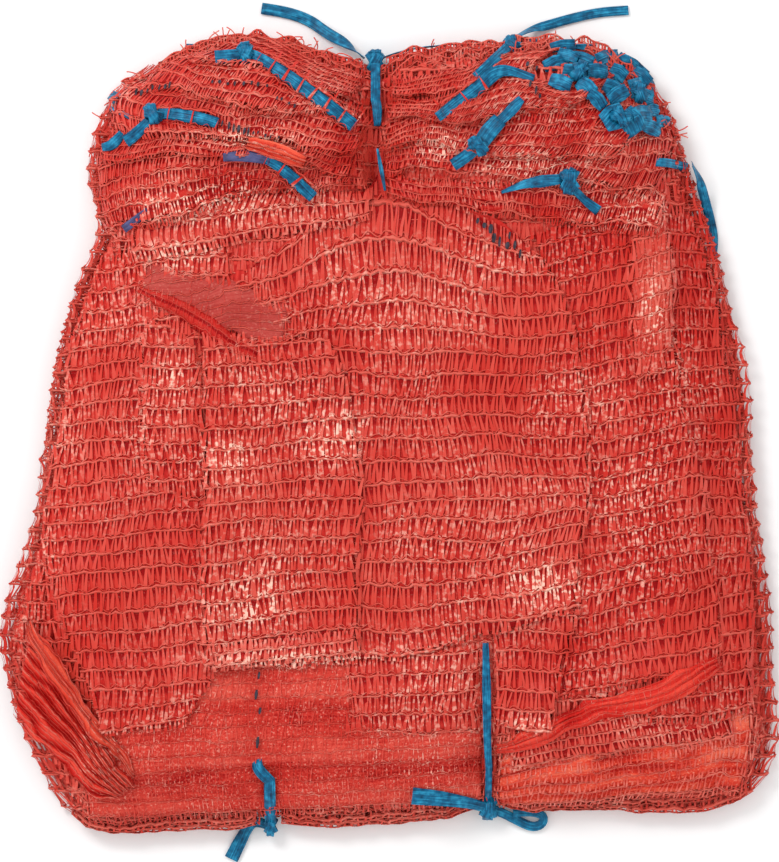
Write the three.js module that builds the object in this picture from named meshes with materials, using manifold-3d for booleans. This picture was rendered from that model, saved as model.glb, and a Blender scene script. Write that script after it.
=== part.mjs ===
// A bundle of knitted mesh bags for vegetables: empty bags piled flat, their mouths gathered at one end, tied with
// three flat plastic tapes that go through the pile and round its edge. Each bag has a drawstring of the same tape.
// Millimetres. The bundle lies on its back on z = 0, with the mouths towards +Y and the shown side up, +Z.
import * as THREE from "three";
import { mergeVertices } from "three/addons/utils/BufferGeometryUtils.js";
import Module from "manifold-3d";

// Driving dimensions
const BAG_WIDTH = 400; // across the foot of a flat bag
const PILE_LENGTH = 417; // from the feet of the bags to their mouths
const BODY_HEIGHT = 36; // of the pile in the middle
const GATHER_HEIGHT = 9; // what the crumpled mouths add to it
const TAPE_WIDTH = 7; // of a drawstring lying flat
const TIE_WIDTH = 5; // of a tie, which is pulled narrow
const TAPE_THICKNESS = 0.8;
const BAG_LAYER = 3; // thickness of a loose bag on top of the pile
const GAP = 0.7; // between pieces that lie on each other

// The outline of the pile, in shares of half its width and half its length, from the left end of the feet, clockwise.
const OUTLINE = [
  [-0.785, -0.98], [-0.92, -0.79], [-1, -0.54], [-0.925, -0.24], [-0.87, 0.1], [-0.82, 0.35], [-0.745, 0.5],
  [-0.775, 0.65], [-0.705, 0.85], [-0.53, 0.96], [-0.35, 1], [-0.1, 0.95], [0.175, 0.965], [0.54, 0.975],
  [0.73, 0.81], [0.8, 0.6], [0.915, 0.21], [0.96, -0.19], [0.995, -0.53], [1, -0.79], [0.93, -0.91], [0.45, -0.94],
  [-0.07, -0.975], [-0.54, -0.98],
];
const OUTLINE_POINTS = 100; // sides of the pile before the ties add theirs
const RINGS = 24; // from the middle of the top to its edge
const FLOOR_SHARES = [1, 0.975, 0.94, 0.87, 0.79, 0.64, 0.32]; // rings under it, from its edge in
const RIM_LEVELS = 4; // layers that show on the edge
const RIM_RIPPLE = 1.3;

// How the pile slopes at its four sides: the width of the slope, the height of its edge and the steps in it.
const SLOPE = { left: 40, right: 62, foot: 50, mouth: 32 };
const RIM_TOP = { left: 19, right: 12, foot: 12, mouth: 17 };
const RIM_BOTTOM = 4;
const TERRACES = 4;
const FOOT_ROUNDING = 13; // how far in from the edge the pile leaves the floor

// The three ties: where the tape comes out of the pile, where it goes over the edge, and how deep it pulls.
const TIES = {
  top_tie: { root: [-5, 130], edge: [-6, 190], valley: 13, reach: 11, notch: 7 },
  left_tie: { root: [-67, -124], edge: [-61, -196], valley: 5, reach: 9, notch: 3 },
  right_tie: { root: [51, -110], edge: [53, -190], valley: 8, reach: 10, notch: 7 },
};
const NOTCH_WIDTH = 13;
const GROOVE_DEPTH = 5; // under the pile, where a tie lies
const GROOVE_LENGTH = 52;
const TIE_OFFSETS = [-24, -14, -7, 0, 7, 14, 24]; // extra points of the outline beside a tie

// The mouths are crumpled into two lobes beside the top tie, as ellipses: centre, half axes, turn in degrees, height.
const LOBES = [
  { at: [-78, 160], half: [80, 46], turn: -12, height: GATHER_HEIGHT },
  { at: [86, 158], half: [78, 50], turn: 8, height: GATHER_HEIGHT + 2 },
];
// Folds that run along a line: both ends, height and half width.
const FOLDS = [
  { from: [-140, 104], to: [-25, 60], height: 4, width: 11 },
  { from: [146, 100], to: [158, -70], height: 4, width: 10 },
  { from: [-95, 40], to: [-94, -118], height: 2.5, width: 9 },
  { from: [60, -150], to: [185, -112], height: 4, width: 9 },
  { from: [70, -178], to: [190, -160], height: 3, width: 8 },
  { from: [-170, -60], to: [-120, -175], height: 4, width: 9 },
];
const GATHERS = { count: 15, height: 2.6, from: 12, to: 95 }; // small folds that spread from the top tie
const PLEATS = { at: [-168, -140], half: [34, 62], pitch: 15, height: 2.4, turn: 25 }; // fanned edges at the left foot

const smooth = (low, high, x) => THREE.MathUtils.smoothstep(x, low, high);
const bell = (x, width) => Math.exp(-((x / width) ** 2));
const halfWidth = BAG_WIDTH / 2;
const halfLength = PILE_LENGTH / 2;

// A fixed stream of numbers from 0 to 1.
function drawer(seed) {
  let state = seed;
  return () => {
    state = (state * 1664525 + 1013904223) % 4294967296;
    return state / 4294967296;
  };
}

// How much of each of the pile's four sides a place belongs to, blended.
function bySide(values, x, y) {
  const [u, v] = [x / halfWidth, y / halfLength];
  const shares = {
    left: Math.max(0, -u) ** 3,
    right: Math.max(0, u) ** 3,
    foot: Math.max(0, -v) ** 3,
    mouth: Math.max(0, v) ** 3,
  };
  const names = Object.keys(shares);
  const total = names.reduce((sum, name) => sum + shares[name], 1e-6);
  return names.reduce((sum, name) => sum + (shares[name] / total) * values[name], 0);
}

// Where a place lies beside the line from a to b: the share along it and the distance from it.
function besideLine(x, y, a, b) {
  const [dx, dy] = [b[0] - a[0], b[1] - a[1]];
  const share = ((x - a[0]) * dx + (y - a[1]) * dy) / (dx * dx + dy * dy);
  const held = THREE.MathUtils.clamp(share, 0, 1);
  return { share, distance: Math.hypot(x - a[0] - held * dx, y - a[1] - held * dy) };
}

// A place in the frame of a turned ellipse, where 1 is its edge.
function inEllipse(x, y, { at, half, turn }) {
  const angle = THREE.MathUtils.degToRad(turn);
  const [dx, dy] = [x - at[0], y - at[1]];
  const along = dx * Math.cos(angle) + dy * Math.sin(angle);
  const across = -dx * Math.sin(angle) + dy * Math.cos(angle);
  return { along, across, radius: Math.hypot(along / half[0], across / half[1]) };
}

// The height that lobes, folds, gathers, pleats and ties give to the top of the pile.
function relief(x, y) {
  let height = 0.8 * Math.sin(x / 23 + y / 61) + 0.8 * Math.sin(y / 29 - x / 47 + 1);
  for (const lobe of LOBES) {
    const { radius, along, across } = inEllipse(x, y, lobe);
    const crumple = 1 + 0.14 * Math.sin(across / 4.5 + 1.5 * Math.sin(along / 21));
    height += lobe.height * crumple * (1 - smooth(0.45, 1, radius));
  }
  for (const fold of FOLDS) {
    height += fold.height * bell(besideLine(x, y, fold.from, fold.to).distance, fold.width);
  }
  const [rootX, rootY] = TIES.top_tie.root;
  const reach = Math.hypot(x - rootX, y - rootY);
  const spread = smooth(GATHERS.from, 2 * GATHERS.from, reach) * (1 - smooth(0.4 * GATHERS.to, GATHERS.to, reach));
  height += GATHERS.height * spread * Math.cos(GATHERS.count * Math.atan2(y - rootY, x - rootX));
  const pleats = inEllipse(x, y, PLEATS);
  const fan = (2 * Math.PI * (pleats.along + pleats.across ** 2 / 260)) / PLEATS.pitch;
  height += PLEATS.height * Math.sin(fan) * (1 - smooth(0.6, 1, pleats.radius));
  for (const tie of Object.values(TIES)) {
    height -= tie.valley * bell(besideLine(x, y, tie.root, tie.edge).distance, tie.reach);
  }
  return height;
}

// The pile's upper and lower surface at a place that lies edge millimetres in from the outline point rim.
function topOfPile(x, y, edge, rim) {
  const start = bySide(RIM_TOP, rim.x, rim.y);
  const climb = THREE.MathUtils.clamp(edge / bySide(SLOPE, rim.x, rim.y), 0, 1);
  const steps = climb * TERRACES;
  const stair = (Math.floor(steps) + smooth(0.5, 1, steps % 1)) / TERRACES;
  const profile = 0.55 * Math.sin((climb * Math.PI) / 2) + 0.45 * stair;
  const body = start + (BODY_HEIGHT - start) * profile;
  return Math.max(body + relief(x, y) * smooth(-6, 22, edge), RIM_BOTTOM + 5);
}

function bottomOfPile(x, y, edge) {
  const round = 1 - THREE.MathUtils.clamp(edge / FOOT_ROUNDING, 0, 1);
  let height = RIM_BOTTOM * (1 - Math.sqrt(1 - round * round));
  for (const tie of Object.values(TIES)) {
    const inwards = Math.hypot(x - tie.edge[0], y - tie.edge[1]);
    const beside = besideLine(x, y, tie.root, tie.edge).distance;
    height += GROOVE_DEPTH * (1 - smooth(5, 15, beside)) * (1 - smooth(0.85, 1, inwards / GROOVE_LENGTH));
  }
  return height;
}

// The outline's points: even ones, with extra ones where a tie pulls the edge in.
function outlinePoints() {
  const corners = OUTLINE.map(([x, y]) => new THREE.Vector3(x * halfWidth, y * halfLength, 0));
  const curve = new THREE.CatmullRomCurve3(corners, true, "centripetal");
  curve.arcLengthDivisions = 800;
  const length = curve.getLength();
  const shares = Array.from({ length: 800 }, (_, i) => i / 800);
  const extra = Object.values(TIES).flatMap((tie) => {
    const target = new THREE.Vector3(tie.edge[0], tie.edge[1], 0);
    const away = shares.map((share) => curve.getPointAt(share).distanceTo(target));
    const nearest = shares[away.indexOf(Math.min(...away))];
    return TIE_OFFSETS.map((offset) => (nearest + offset / length + 1) % 1);
  });
  const even = Array.from({ length: OUTLINE_POINTS }, (_, i) => i / OUTLINE_POINTS);
  const clear = even.filter((share) => extra.every((other) => Math.abs(share - other) * length > 9));
  return [...clear, ...extra]
    .sort((a, b) => a - b)
    .map((share) => {
      const point = curve.getPointAt(share);
      for (const tie of Object.values(TIES)) {
        if (Math.sign(tie.edge[1]) !== Math.sign(point.y) || Math.abs(point.y) < halfLength / 2) continue;
        point.y -= Math.sign(point.y) * tie.notch * bell(point.x - tie.edge[0], NOTCH_WIDTH);
      }
      return point;
    });
}

// A closed geometry from points and triangles.
function geometryOf(points, triangles) {
  const geometry = new THREE.BufferGeometry().setFromPoints(points);
  geometry.setIndex(triangles);
  geometry.computeVertexNormals();
  return geometry;
}

// Two triangles for the four corners a, b, c, d, which run anticlockwise seen from outside.
const quad = (a, b, c, d) => [a, b, c, a, c, d];

// The pile: rings from the middle of the top out to the edge, down over the layers of the rim, and in under the pile.
function pileGeometry() {
  const rim = outlinePoints().reverse(); // anticlockwise seen from above
  const count = rim.length;
  const rings = [];
  const ringAt = (share, heightOf, push = 0) =>
    rim.map((end) => {
      const reach = Math.hypot(end.x, end.y);
      const [x, y] = [end.x * (share + push / reach), end.y * (share + push / reach)];
      return new THREE.Vector3(x, y, heightOf(x, y, (1 - share) * reach, end));
    });
  for (let k = 1; k <= RINGS; k++) {
    const share = 1 - (1 - k / RINGS) ** 1.25;
    rings.push(ringAt(share, topOfPile));
  }
  for (let k = 1; k < RIM_LEVELS; k++) {
    const down = k / RIM_LEVELS;
    const push = RIM_RIPPLE * (k % 2 ? 1 : -1);
    const between = (x, y, edge, end) =>
      (1 - down) * topOfPile(end.x, end.y, 0, end) + down * bottomOfPile(end.x, end.y, 0);
    rings.push(ringAt(1, between, push));
  }
  for (const share of FLOOR_SHARES) rings.push(ringAt(share, bottomOfPile));
  const points = [new THREE.Vector3(0, 0, topOfPile(0, 0, halfWidth, rim[0])), ...rings.flat()];
  const last = points.push(new THREE.Vector3(0, 0, 0)) - 1;
  const triangles = [];
  const at = (ring, i) => 1 + ring * count + (i % count);
  for (let i = 0; i < count; i++) {
    triangles.push(0, at(0, i), at(0, i + 1));
    for (let ring = 0; ring < rings.length - 1; ring++) {
      triangles.push(...quad(at(ring, i), at(ring + 1, i), at(ring + 1, i + 1), at(ring, i + 1)));
    }
    triangles.push(last, at(rings.length - 1, i + 1), at(rings.length - 1, i));
  }
  return geometryOf(points, triangles);
}

const netRed = new THREE.MeshStandardMaterial({ color: 0xcd4e44, roughness: 0.5, metalness: 0 });
const tapeBlue = new THREE.MeshStandardMaterial({ color: 0x16729e, roughness: 0.4, metalness: 0 });

const bundle = new THREE.Group();

function addNode(name, geometry, material) {
  const mesh = new THREE.Mesh(geometry, material);
  mesh.name = name;
  mesh.updateMatrixWorld();
  bundle.add(mesh);
  return mesh;
}

// Looks along a ray at the pieces that are already there.
const ray = new THREE.Raycaster();
function firstHit(from, towards, pieces) {
  ray.set(from, towards.clone().normalize());
  const [hit] = ray.intersectObjects(pieces, false);
  return hit ? hit.point : null;
}

// The highest point of the pieces under a small square round a place, or the floor.
function heightOver(x, y, pieces, half = 2.5) {
  const down = new THREE.Vector3(0, 0, -1);
  let height = 0;
  for (const dx of [-half, -half / 2, 0, half / 2, half]) {
    for (const dy of [-half, -half / 2, 0, half / 2, half]) {
      const hit = firstHit(new THREE.Vector3(x + dx, y + dy, 200), down, pieces);
      if (hit) height = Math.max(height, hit.z);
    }
  }
  return height;
}

// A loose bag on the pile: a thin wavy sheet between two edges, which run from its foot to its mouth.
function looseBagGeometry(leftEdge, rightEdge, across, along, pieces, thicknessAt) {
  const curveOf = (edge) => new THREE.SplineCurve(edge.map(([x, y]) => new THREE.Vector2(x, y)));
  const [left, right] = [curveOf(leftEdge), curveOf(rightEdge)];
  const upper = [];
  const lower = [];
  for (let j = 0; j <= along; j++) {
    const [a, b] = [left.getPoint(j / along), right.getPoint(j / along)];
    for (let i = 0; i <= across; i++) {
      const place = a.clone().lerp(b, i / across);
      const under = heightOver(place.x, place.y, pieces, 6.5) + GAP;
      lower.push(new THREE.Vector3(place.x, place.y, under));
      upper.push(new THREE.Vector3(place.x, place.y, under + thicknessAt(i / across, j / along)));
    }
  }
  const half = upper.length;
  const at = (i, j) => j * (across + 1) + i;
  const triangles = [];
  for (let j = 0; j < along; j++) {
    for (let i = 0; i < across; i++) {
      const corners = [at(i, j), at(i + 1, j), at(i + 1, j + 1), at(i, j + 1)];
      const [a, b, c, d] = corners.map((corner) => corner + half);
      triangles.push(...quad(...corners), a, c, b, a, d, c);
    }
  }
  const border = [
    ...Array.from({ length: across }, (_, i) => at(i, 0)),
    ...Array.from({ length: along }, (_, j) => at(across, j)),
    ...Array.from({ length: across }, (_, i) => at(across - i, along)),
    ...Array.from({ length: along }, (_, j) => at(0, along - j)),
  ];
  border.forEach((from, k) => {
    const to = border[(k + 1) % border.length];
    triangles.push(...quad(from + half, to + half, to, from));
  });
  return geometryOf([...upper, ...lower], triangles);
}

// A flat tape along points, lying with its upper side towards ups, and as wide as widths says at each point.
function tapeGeometry(points, ups, widths, thickness = TAPE_THICKNESS) {
  const corners = [];
  points.forEach((point, i) => {
    const ahead = points[Math.min(i + 1, points.length - 1)];
    const behind = points[Math.max(i - 1, 0)];
    const along = ahead.clone().sub(behind).normalize();
    const side = along.clone().cross(ups[i]).normalize();
    const up = side.clone().cross(along).normalize();
    for (const [across, rise] of [[1, 1], [1, -1], [-1, -1], [-1, 1]]) {
      corners.push(
        point
          .clone()
          .addScaledVector(side, (across * widths[i]) / 2)
          .addScaledVector(up, (rise * thickness) / 2),
      );
    }
  });
  const triangles = [];
  const last = 4 * (points.length - 1);
  for (let i = 0; i < last; i += 4) {
    for (let k = 0; k < 4; k++) {
      const next = (k + 1) % 4;
      triangles.push(...quad(i + k, i + next, i + 4 + next, i + 4 + k));
    }
  }
  triangles.push(...quad(0, 3, 2, 1), ...quad(last, last + 1, last + 2, last + 3));
  return geometryOf(corners, triangles);
}

// Points spaced evenly on a smooth curve through a few places.
function smoothPath(places, step) {
  const curve = new THREE.CatmullRomCurve3(places, false, "centripetal");
  return curve.getSpacedPoints(Math.max(3, Math.round(curve.getLength() / step)));
}

const UP = new THREE.Vector3(0, 0, 1);

// Points of a tape that lies on the pieces under it, through places on the plan.
function lyingPoints(places, pieces, width = TAPE_WIDTH, step = 5) {
  const plan = smoothPath(places.map(([x, y]) => new THREE.Vector3(x, y, 0)), step);
  return plan.map(({ x, y }) => {
    const lift = GAP + TAPE_THICKNESS / 2;
    return new THREE.Vector3(x, y, heightOver(x, y, pieces, width / 2) + lift);
  });
}

// Joins closed geometries into one, without the small hollows that can stay shut in between them.
const wasm = await Module();
wasm.setup();

function solidOf(geometry) {
  const bare = geometry.index ? geometry.toNonIndexed() : geometry.clone();
  for (const name of ["normal", "uv"]) bare.deleteAttribute(name);
  const merged = mergeVertices(bare, 1e-3);
  const vertProperties = merged.getAttribute("position").array;
  return new wasm.Manifold(new wasm.Mesh({ numProp: 3, vertProperties, triVerts: new Uint32Array(merged.index.array) }));
}

function joined(geometries) {
  const whole = geometries.map(solidOf).reduce((sum, solid) => sum.add(solid));
  const skins = whole.decompose().filter((skin) => skin.volume() > 0);
  const mesh = wasm.Manifold.compose(skins).getMesh();
  const geometry = new THREE.BufferGeometry();
  geometry.setAttribute("position", new THREE.BufferAttribute(new Float32Array(mesh.vertProperties), 3));
  geometry.setIndex(new THREE.BufferAttribute(new Uint32Array(mesh.triVerts), 1));
  geometry.computeVertexNormals();
  return geometry;
}

// A pulled knot in a tape: a flattened lump that reaches a little into the tape beside it.
const KNOT_HALF = [5, 4.2, 2.6];
function knotGeometry(centre, turn) {
  const lump = new THREE.IcosahedronGeometry(1, 1);
  lump.scale(...KNOT_HALF);
  lump.rotateZ(THREE.MathUtils.degToRad(turn));
  lump.translate(centre.x, centre.y, centre.z);
  return lump;
}

// The pile and the two loose bags that lie on it
const pile = addNode("bag_stack", pileGeometry(), netRed);

// The uppermost bag narrows to the tie and has its left third folded back over itself.
const TOP_BAG = {
  left: [[-92, -121], [-93, -60], [-94, 0], [-89, 58], [-60, 88], [-22, 116]],
  right: [[47, -100], [103, -52], [105, 0], [98, 52], [72, 92], [14, 116]],
  foldedShare: 0.37,
  foldedLength: 0.72,
};
const topBag = addNode(
  "top_bag",
  looseBagGeometry(TOP_BAG.left, TOP_BAG.right, 16, 20, [pile], (across, along) => {
    const folded = across < TOP_BAG.foldedShare && along < TOP_BAG.foldedLength;
    const edge = Math.min(across, 1 - across, along, 1 - along) < 1e-6;
    return (edge ? BAG_LAYER / 2 : BAG_LAYER) + (folded ? BAG_LAYER : 0);
  }),
  netRed,
);

// A corner of the second bag, which hangs out beside the right tie.
const CORNER_FLAP = {
  left: [[60, -151], [58, -130], [60, -112]],
  right: [[86, -156], [96, -130], [102, -84]],
};
const cornerFlap = addNode(
  "corner_flap",
  looseBagGeometry(CORNER_FLAP.left, CORNER_FLAP.right, 6, 9, [pile], () => BAG_LAYER),
  netRed,
);
const bags = [pile, topBag, cornerFlap];

// A tie comes out of the pile at its root, lies in the valley that it pulls, goes over the edge and back underneath.
const EDGE_HEIGHT = 8;
const EDGE_TURNS = 24;
function tieGeometry({ root, edge }) {
  const outwards = new THREE.Vector3(0, Math.sign(edge[1]), 0);
  const middle = new THREE.Vector3(edge[0], edge[1], EDGE_HEIGHT).addScaledVector(outwards, -16);
  const lift = GAP + TAPE_THICKNESS / 2;
  const points = [];
  const ups = [];
  const steps = 10;
  for (let i = 0; i < steps; i++) {
    const x = THREE.MathUtils.lerp(root[0], middle.x, i / steps);
    const y = THREE.MathUtils.lerp(root[1], middle.y, i / steps);
    points.push(new THREE.Vector3(x, y, heightOver(x, y, bags, TIE_WIDTH / 2) + lift));
    ups.push(UP);
  }
  for (let i = 0; i <= EDGE_TURNS; i++) {
    const angle = (0.5 - i / EDGE_TURNS) * Math.PI;
    const out = outwards.clone().multiplyScalar(Math.cos(angle)).addScaledVector(UP, Math.sin(angle));
    const reaches = [-0.5, 0, 0.5].map((share) => {
      const from = middle.clone().addScaledVector(out, 150);
      from.x += share * (TIE_WIDTH + 1);
      const hit = firstHit(from, out.clone().negate(), bags);
      return hit ? hit.sub(middle).dot(out) : 0;
    });
    points.push(middle.clone().addScaledVector(out, Math.max(...reaches) + lift + 0.8));
    ups.push(out);
  }
  const end = points[points.length - 1].clone().addScaledVector(outwards, -16);
  end.z = points[points.length - 1].z;
  points.push(end);
  ups.push(UP.clone().negate());
  return { tape: tapeGeometry(points, ups, points.map(() => TIE_WIDTH)), points, ups, over: steps + EDGE_TURNS / 2 };
}

// Each tie is knotted outside the edge. Its short ends are part of it: their places from the knot, and the way they face.
const OUT = new THREE.Vector3(0, 1, 0);
const SHORT_ENDS = {
  top_tie: [{ places: [[0, 0, 0], [10, 4, 2], [24, 7, 4], [41, 8.5, 5]], up: OUT }],
  left_tie: [{ places: [[0, 0, 0], [-5, -5, -3], [-13, -12, -6], [-21, -19, -6.9]], up: UP }],
  right_tie: [
    { places: [[0, 0, 2], [-8, 3, 9], [-22, 6, 15], [-40, 8, 18]], up: UP },
    { places: [[0, 0, 0], [9, -3, -4], [18, -7, -6.8], [27, -7, -6.9]], up: UP },
  ],
};
const tieKnots = {};
for (const [name, tie] of Object.entries(TIES)) {
  const { tape, points, ups, over } = tieGeometry(tie);
  const knot = points[over].clone().addScaledVector(ups[over], KNOT_HALF[1] - TAPE_THICKNESS / 2);
  tieKnots[name] = knot;
  const ends = SHORT_ENDS[name].map(({ places, up }) => {
    const path = smoothPath(places.map(([x, y, z]) => new THREE.Vector3(x, y, z).add(knot)), 6);
    return tapeGeometry(path, path.map(() => up), path.map(() => TAPE_WIDTH));
  });
  addNode(name, joined([tape, knotGeometry(knot, 0), ...ends]), tapeBlue);
}

// Drawstrings: the stretch that shows in the hem of a mouth, from its loose end, and where it is knotted.
const DRAWSTRINGS = {
  drawstring_1: { places: [[-88, 196], [-74, 197], [-62, 192], [-40, 176], [-18, 160]], knot: [-74, 197], turn: 10 },
  drawstring_2: { places: [[-133, 153], [-121, 165], [-109, 164], [-84, 158], [-57, 152]], knot: [-121, 165], turn: 45 },
  drawstring_3: { places: [[-82, 143], [-66, 142], [-54, 137], [-40, 125]] },
  drawstring_4: { places: [[-137, 109], [-124, 114]] },
  drawstring_5: { places: [[50, 191], [55, 196], [61, 200], [65, 201]], knot: [63, 201], turn: 40 },
  drawstring_6: { places: [[28, 165], [41, 174], [51, 182], [60, 186], [75, 183]] },
  drawstring_7: { places: [[34, 138], [43, 146], [53, 156], [66, 169]], knot: [64, 167], turn: 45 },
  drawstring_8: { places: [[61, 127], [74, 130], [93, 131], [101, 124], [109, 117]], knot: [93, 131], turn: 0 },
};
for (const [name, { places, knot, turn }] of Object.entries(DRAWSTRINGS)) {
  const points = lyingPoints(places, bags);
  const pieces = [tapeGeometry(points, points.map(() => UP), points.map(() => TAPE_WIDTH))];
  if (knot) {
    const away = points.map(({ x, y }) => Math.hypot(x - knot[0], y - knot[1]));
    const tied = points[away.indexOf(Math.min(...away))].clone();
    pieces.push(knotGeometry(tied.addScaledVector(UP, KNOT_HALF[2] - TAPE_THICKNESS / 2), turn));
  }
  addNode(name, joined(pieces), tapeBlue);
}

// The drawstrings' ends that are bunched on the right: short flat lengths, crossing on a low cushion of tape.
const BUNCH = { at: [111, 173], half: [31, 24], cushion: 0.72, thickness: 2.4, count: 13, length: 14, seed: 7 };
function bunchGeometry() {
  const [halfX, halfY] = BUNCH.half.map((half) => half * BUNCH.cushion);
  const turns = Array.from({ length: 7 }, (_, k) => ((k - 3) / 3) * 1.2);
  const edgeOf = (sign) =>
    turns.map((turn) => [BUNCH.at[0] + sign * halfX * Math.cos(turn), BUNCH.at[1] + halfY * Math.sin(turn)]);
  const cushion = looseBagGeometry(edgeOf(-1), edgeOf(1), 6, 8, bags, () => BUNCH.thickness);
  const base = new THREE.Mesh(cushion, tapeBlue);
  base.updateMatrixWorld();
  const draw = drawer(BUNCH.seed);
  const rise = (x, y) => heightOver(x, y, [base], 0.1);
  const ends = Array.from({ length: BUNCH.count }, (_, k) => {
    const turn = k * 2.4;
    const reach = 0.8 * Math.sqrt((k + 0.5) / BUNCH.count);
    const [x, y] = [BUNCH.at[0] + reach * halfX * Math.cos(turn), BUNCH.at[1] + reach * halfY * Math.sin(turn)];
    const z = rise(x, y);
    const up = new THREE.Vector3(rise(x - 2, y) - rise(x + 2, y), rise(x, y - 2) - rise(x, y + 2), 4).normalize();
    const heading = turn + 1.6 * (draw() - 0.5);
    const along = new THREE.Vector3(Math.cos(heading), Math.sin(heading), 0).projectOnPlane(up).normalize();
    const length = BUNCH.length * (0.7 + 0.6 * draw());
    const tilt = 0.08 + 0.12 * draw();
    const points = [-0.4, 0, 0.6].map((share) =>
      new THREE.Vector3(x, y, z + 0.4)
        .addScaledVector(along, share * length)
        .addScaledVector(up, tilt * Math.max(0, share) * length),
    );
    return tapeGeometry(points, points.map(() => up), points.map(() => TAPE_WIDTH + 1.5 * draw()), 1.5);
  });
  return joined([cushion, ...ends]);
}
addNode("drawstring_bunch", bunchGeometry(), tapeBlue);

// Long loose ends of tape, which come down to the floor beside the pile.
const FLOOR = TAPE_THICKNESS / 2 + 0.3;
const RIGHT = new THREE.Vector3(1, 0, 0);
const topKnot = tieKnots.top_tie;
const LOOSE_ENDS = {
  top_tie_end: {
    places: [
      [topKnot.x - 6, topKnot.y + 1.5, topKnot.z], [-21, topKnot.y + 9, 9], [-32, 211, 3], [-41, 218, FLOOR],
      [-53, 222, FLOOR], [-66, 224, FLOOR],
    ],
    from: OUT,
    width: 6,
  },
  drawstring_5_end: {
    places: [[68.5, 208, 13], [75, 212, 6], [84, 215, FLOOR], [98, 219, FLOOR], [112, 222, FLOOR], [127, 223, FLOOR]],
    from: OUT,
    width: 5,
  },
  side_end: {
    places: [[159, 141, 17], [163.5, 133, 11], [167, 123, 5], [170, 113, FLOOR], [172, 103, FLOOR], [171, 93, FLOOR]],
    from: RIGHT,
    width: 5,
  },
};
for (const [name, { places, from, width }] of Object.entries(LOOSE_ENDS)) {
  const points = smoothPath(places.map((place) => new THREE.Vector3(...place)), 6);
  const ups = points.map((_, i) => from.clone().lerp(UP, smooth(0, 0.4, i / points.length)).normalize());
  points.forEach((point, i) => {
    const edge = (width / 2) * Math.hypot(ups[i].x, ups[i].y); // how far a twisted tape's edge hangs below its middle
    point.z = Math.max(point.z, FLOOR + edge);
  });
  addNode(name, tapeGeometry(points, ups, points.map(() => width)), tapeBlue);
}

export default bundle;
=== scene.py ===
import math

import bmesh
import bpy
import numpy as np
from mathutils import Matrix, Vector, noise
from mathutils.bvhtree import BVHTree


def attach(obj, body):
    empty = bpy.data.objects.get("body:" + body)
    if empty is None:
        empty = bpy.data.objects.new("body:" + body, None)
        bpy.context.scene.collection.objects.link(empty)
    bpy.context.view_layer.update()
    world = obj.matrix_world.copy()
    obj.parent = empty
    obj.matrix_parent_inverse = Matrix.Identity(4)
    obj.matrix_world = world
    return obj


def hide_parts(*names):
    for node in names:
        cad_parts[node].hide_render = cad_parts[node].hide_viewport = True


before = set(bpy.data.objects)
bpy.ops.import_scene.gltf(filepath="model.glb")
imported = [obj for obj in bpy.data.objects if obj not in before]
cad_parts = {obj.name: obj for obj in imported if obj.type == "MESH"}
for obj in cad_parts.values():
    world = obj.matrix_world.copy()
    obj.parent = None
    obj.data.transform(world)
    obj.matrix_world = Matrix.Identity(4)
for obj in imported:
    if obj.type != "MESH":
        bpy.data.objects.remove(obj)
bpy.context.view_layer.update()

# View, light and table
# The bundle lies on a white table and is seen from straight above through a long lens. A soft light hangs
# over the upper left, and pale walls all round fill the shade.
VIEW_HEIGHT = 0.4482
VIEW_MIDDLE = (0.0013, 0.0016)
CAMERA_DISTANCE = 2.0
PILE_LEVEL = 0.025
SENSOR = 36.0
WALL_WHITE = (1.0, 1.0, 1.0, 1.0)
WALL_LIGHT = 0.96
KEY_PLACE = (-0.75, 0.85, 1.3)
KEY_SIZE = 0.5
KEY_POWER = 11.0
TABLE_HALF = 3.0
TABLE_LEVEL = -0.0004
TABLE_WHITE = (0.95, 0.95, 0.95, 1.0)
TABLE_ROUGHNESS = 0.9


def set_inputs(tree, node, inputs):
    """Sets or links a node's inputs, by name or number."""
    for socket, value in inputs.items():
        if isinstance(value, bpy.types.NodeSocket):
            tree.links.new(value, node.inputs[socket])
        else:
            node.inputs[socket].default_value = value


def new_material(name):
    """A new material, its tree of nodes and its shader."""
    material = bpy.data.materials.new(name)
    material.use_nodes = True
    tree = material.node_tree
    return material, tree, tree.nodes["Principled BSDF"]


camera_data = bpy.data.cameras.new("camera")
camera_data.sensor_fit = "VERTICAL"
camera_data.sensor_height = SENSOR
camera_data.lens = SENSOR * CAMERA_DISTANCE / VIEW_HEIGHT
camera = bpy.data.objects.new("camera", camera_data)
camera.location = (*VIEW_MIDDLE, CAMERA_DISTANCE + PILE_LEVEL)
bpy.context.collection.objects.link(camera)
bpy.context.scene.camera = camera

world = bpy.data.worlds.new("pale_walls")
world.use_nodes = True
walls = world.node_tree.nodes["Background"]
set_inputs(world.node_tree, walls, {"Color": WALL_WHITE, "Strength": WALL_LIGHT})
bpy.context.scene.world = world
bpy.context.scene.view_settings.view_transform = "Standard"

key_data = bpy.data.lights.new("key_light", "AREA")
key_data.size = KEY_SIZE
key_data.energy = KEY_POWER
key = bpy.data.objects.new("key_light", key_data)
key.location = KEY_PLACE
key.rotation_euler = Vector(KEY_PLACE).to_track_quat("Z", "Y").to_euler()
bpy.context.collection.objects.link(key)

table_corners = [
    (x * TABLE_HALF, y * TABLE_HALF, TABLE_LEVEL) for x, y in ((-1, -1), (1, -1), (1, 1), (-1, 1))
]
table_mesh = bpy.data.meshes.new("table")
table_mesh.from_pydata(table_corners, [], [(0, 1, 2, 3)])
table_material, table_tree, table_shader = new_material("table_white")
set_inputs(table_tree, table_shader, {"Base Color": TABLE_WHITE, "Roughness": TABLE_ROUGHNESS})
table_mesh.materials.append(table_material)
table = bpy.data.objects.new("table", table_mesh)
bpy.context.collection.objects.link(table)

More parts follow.
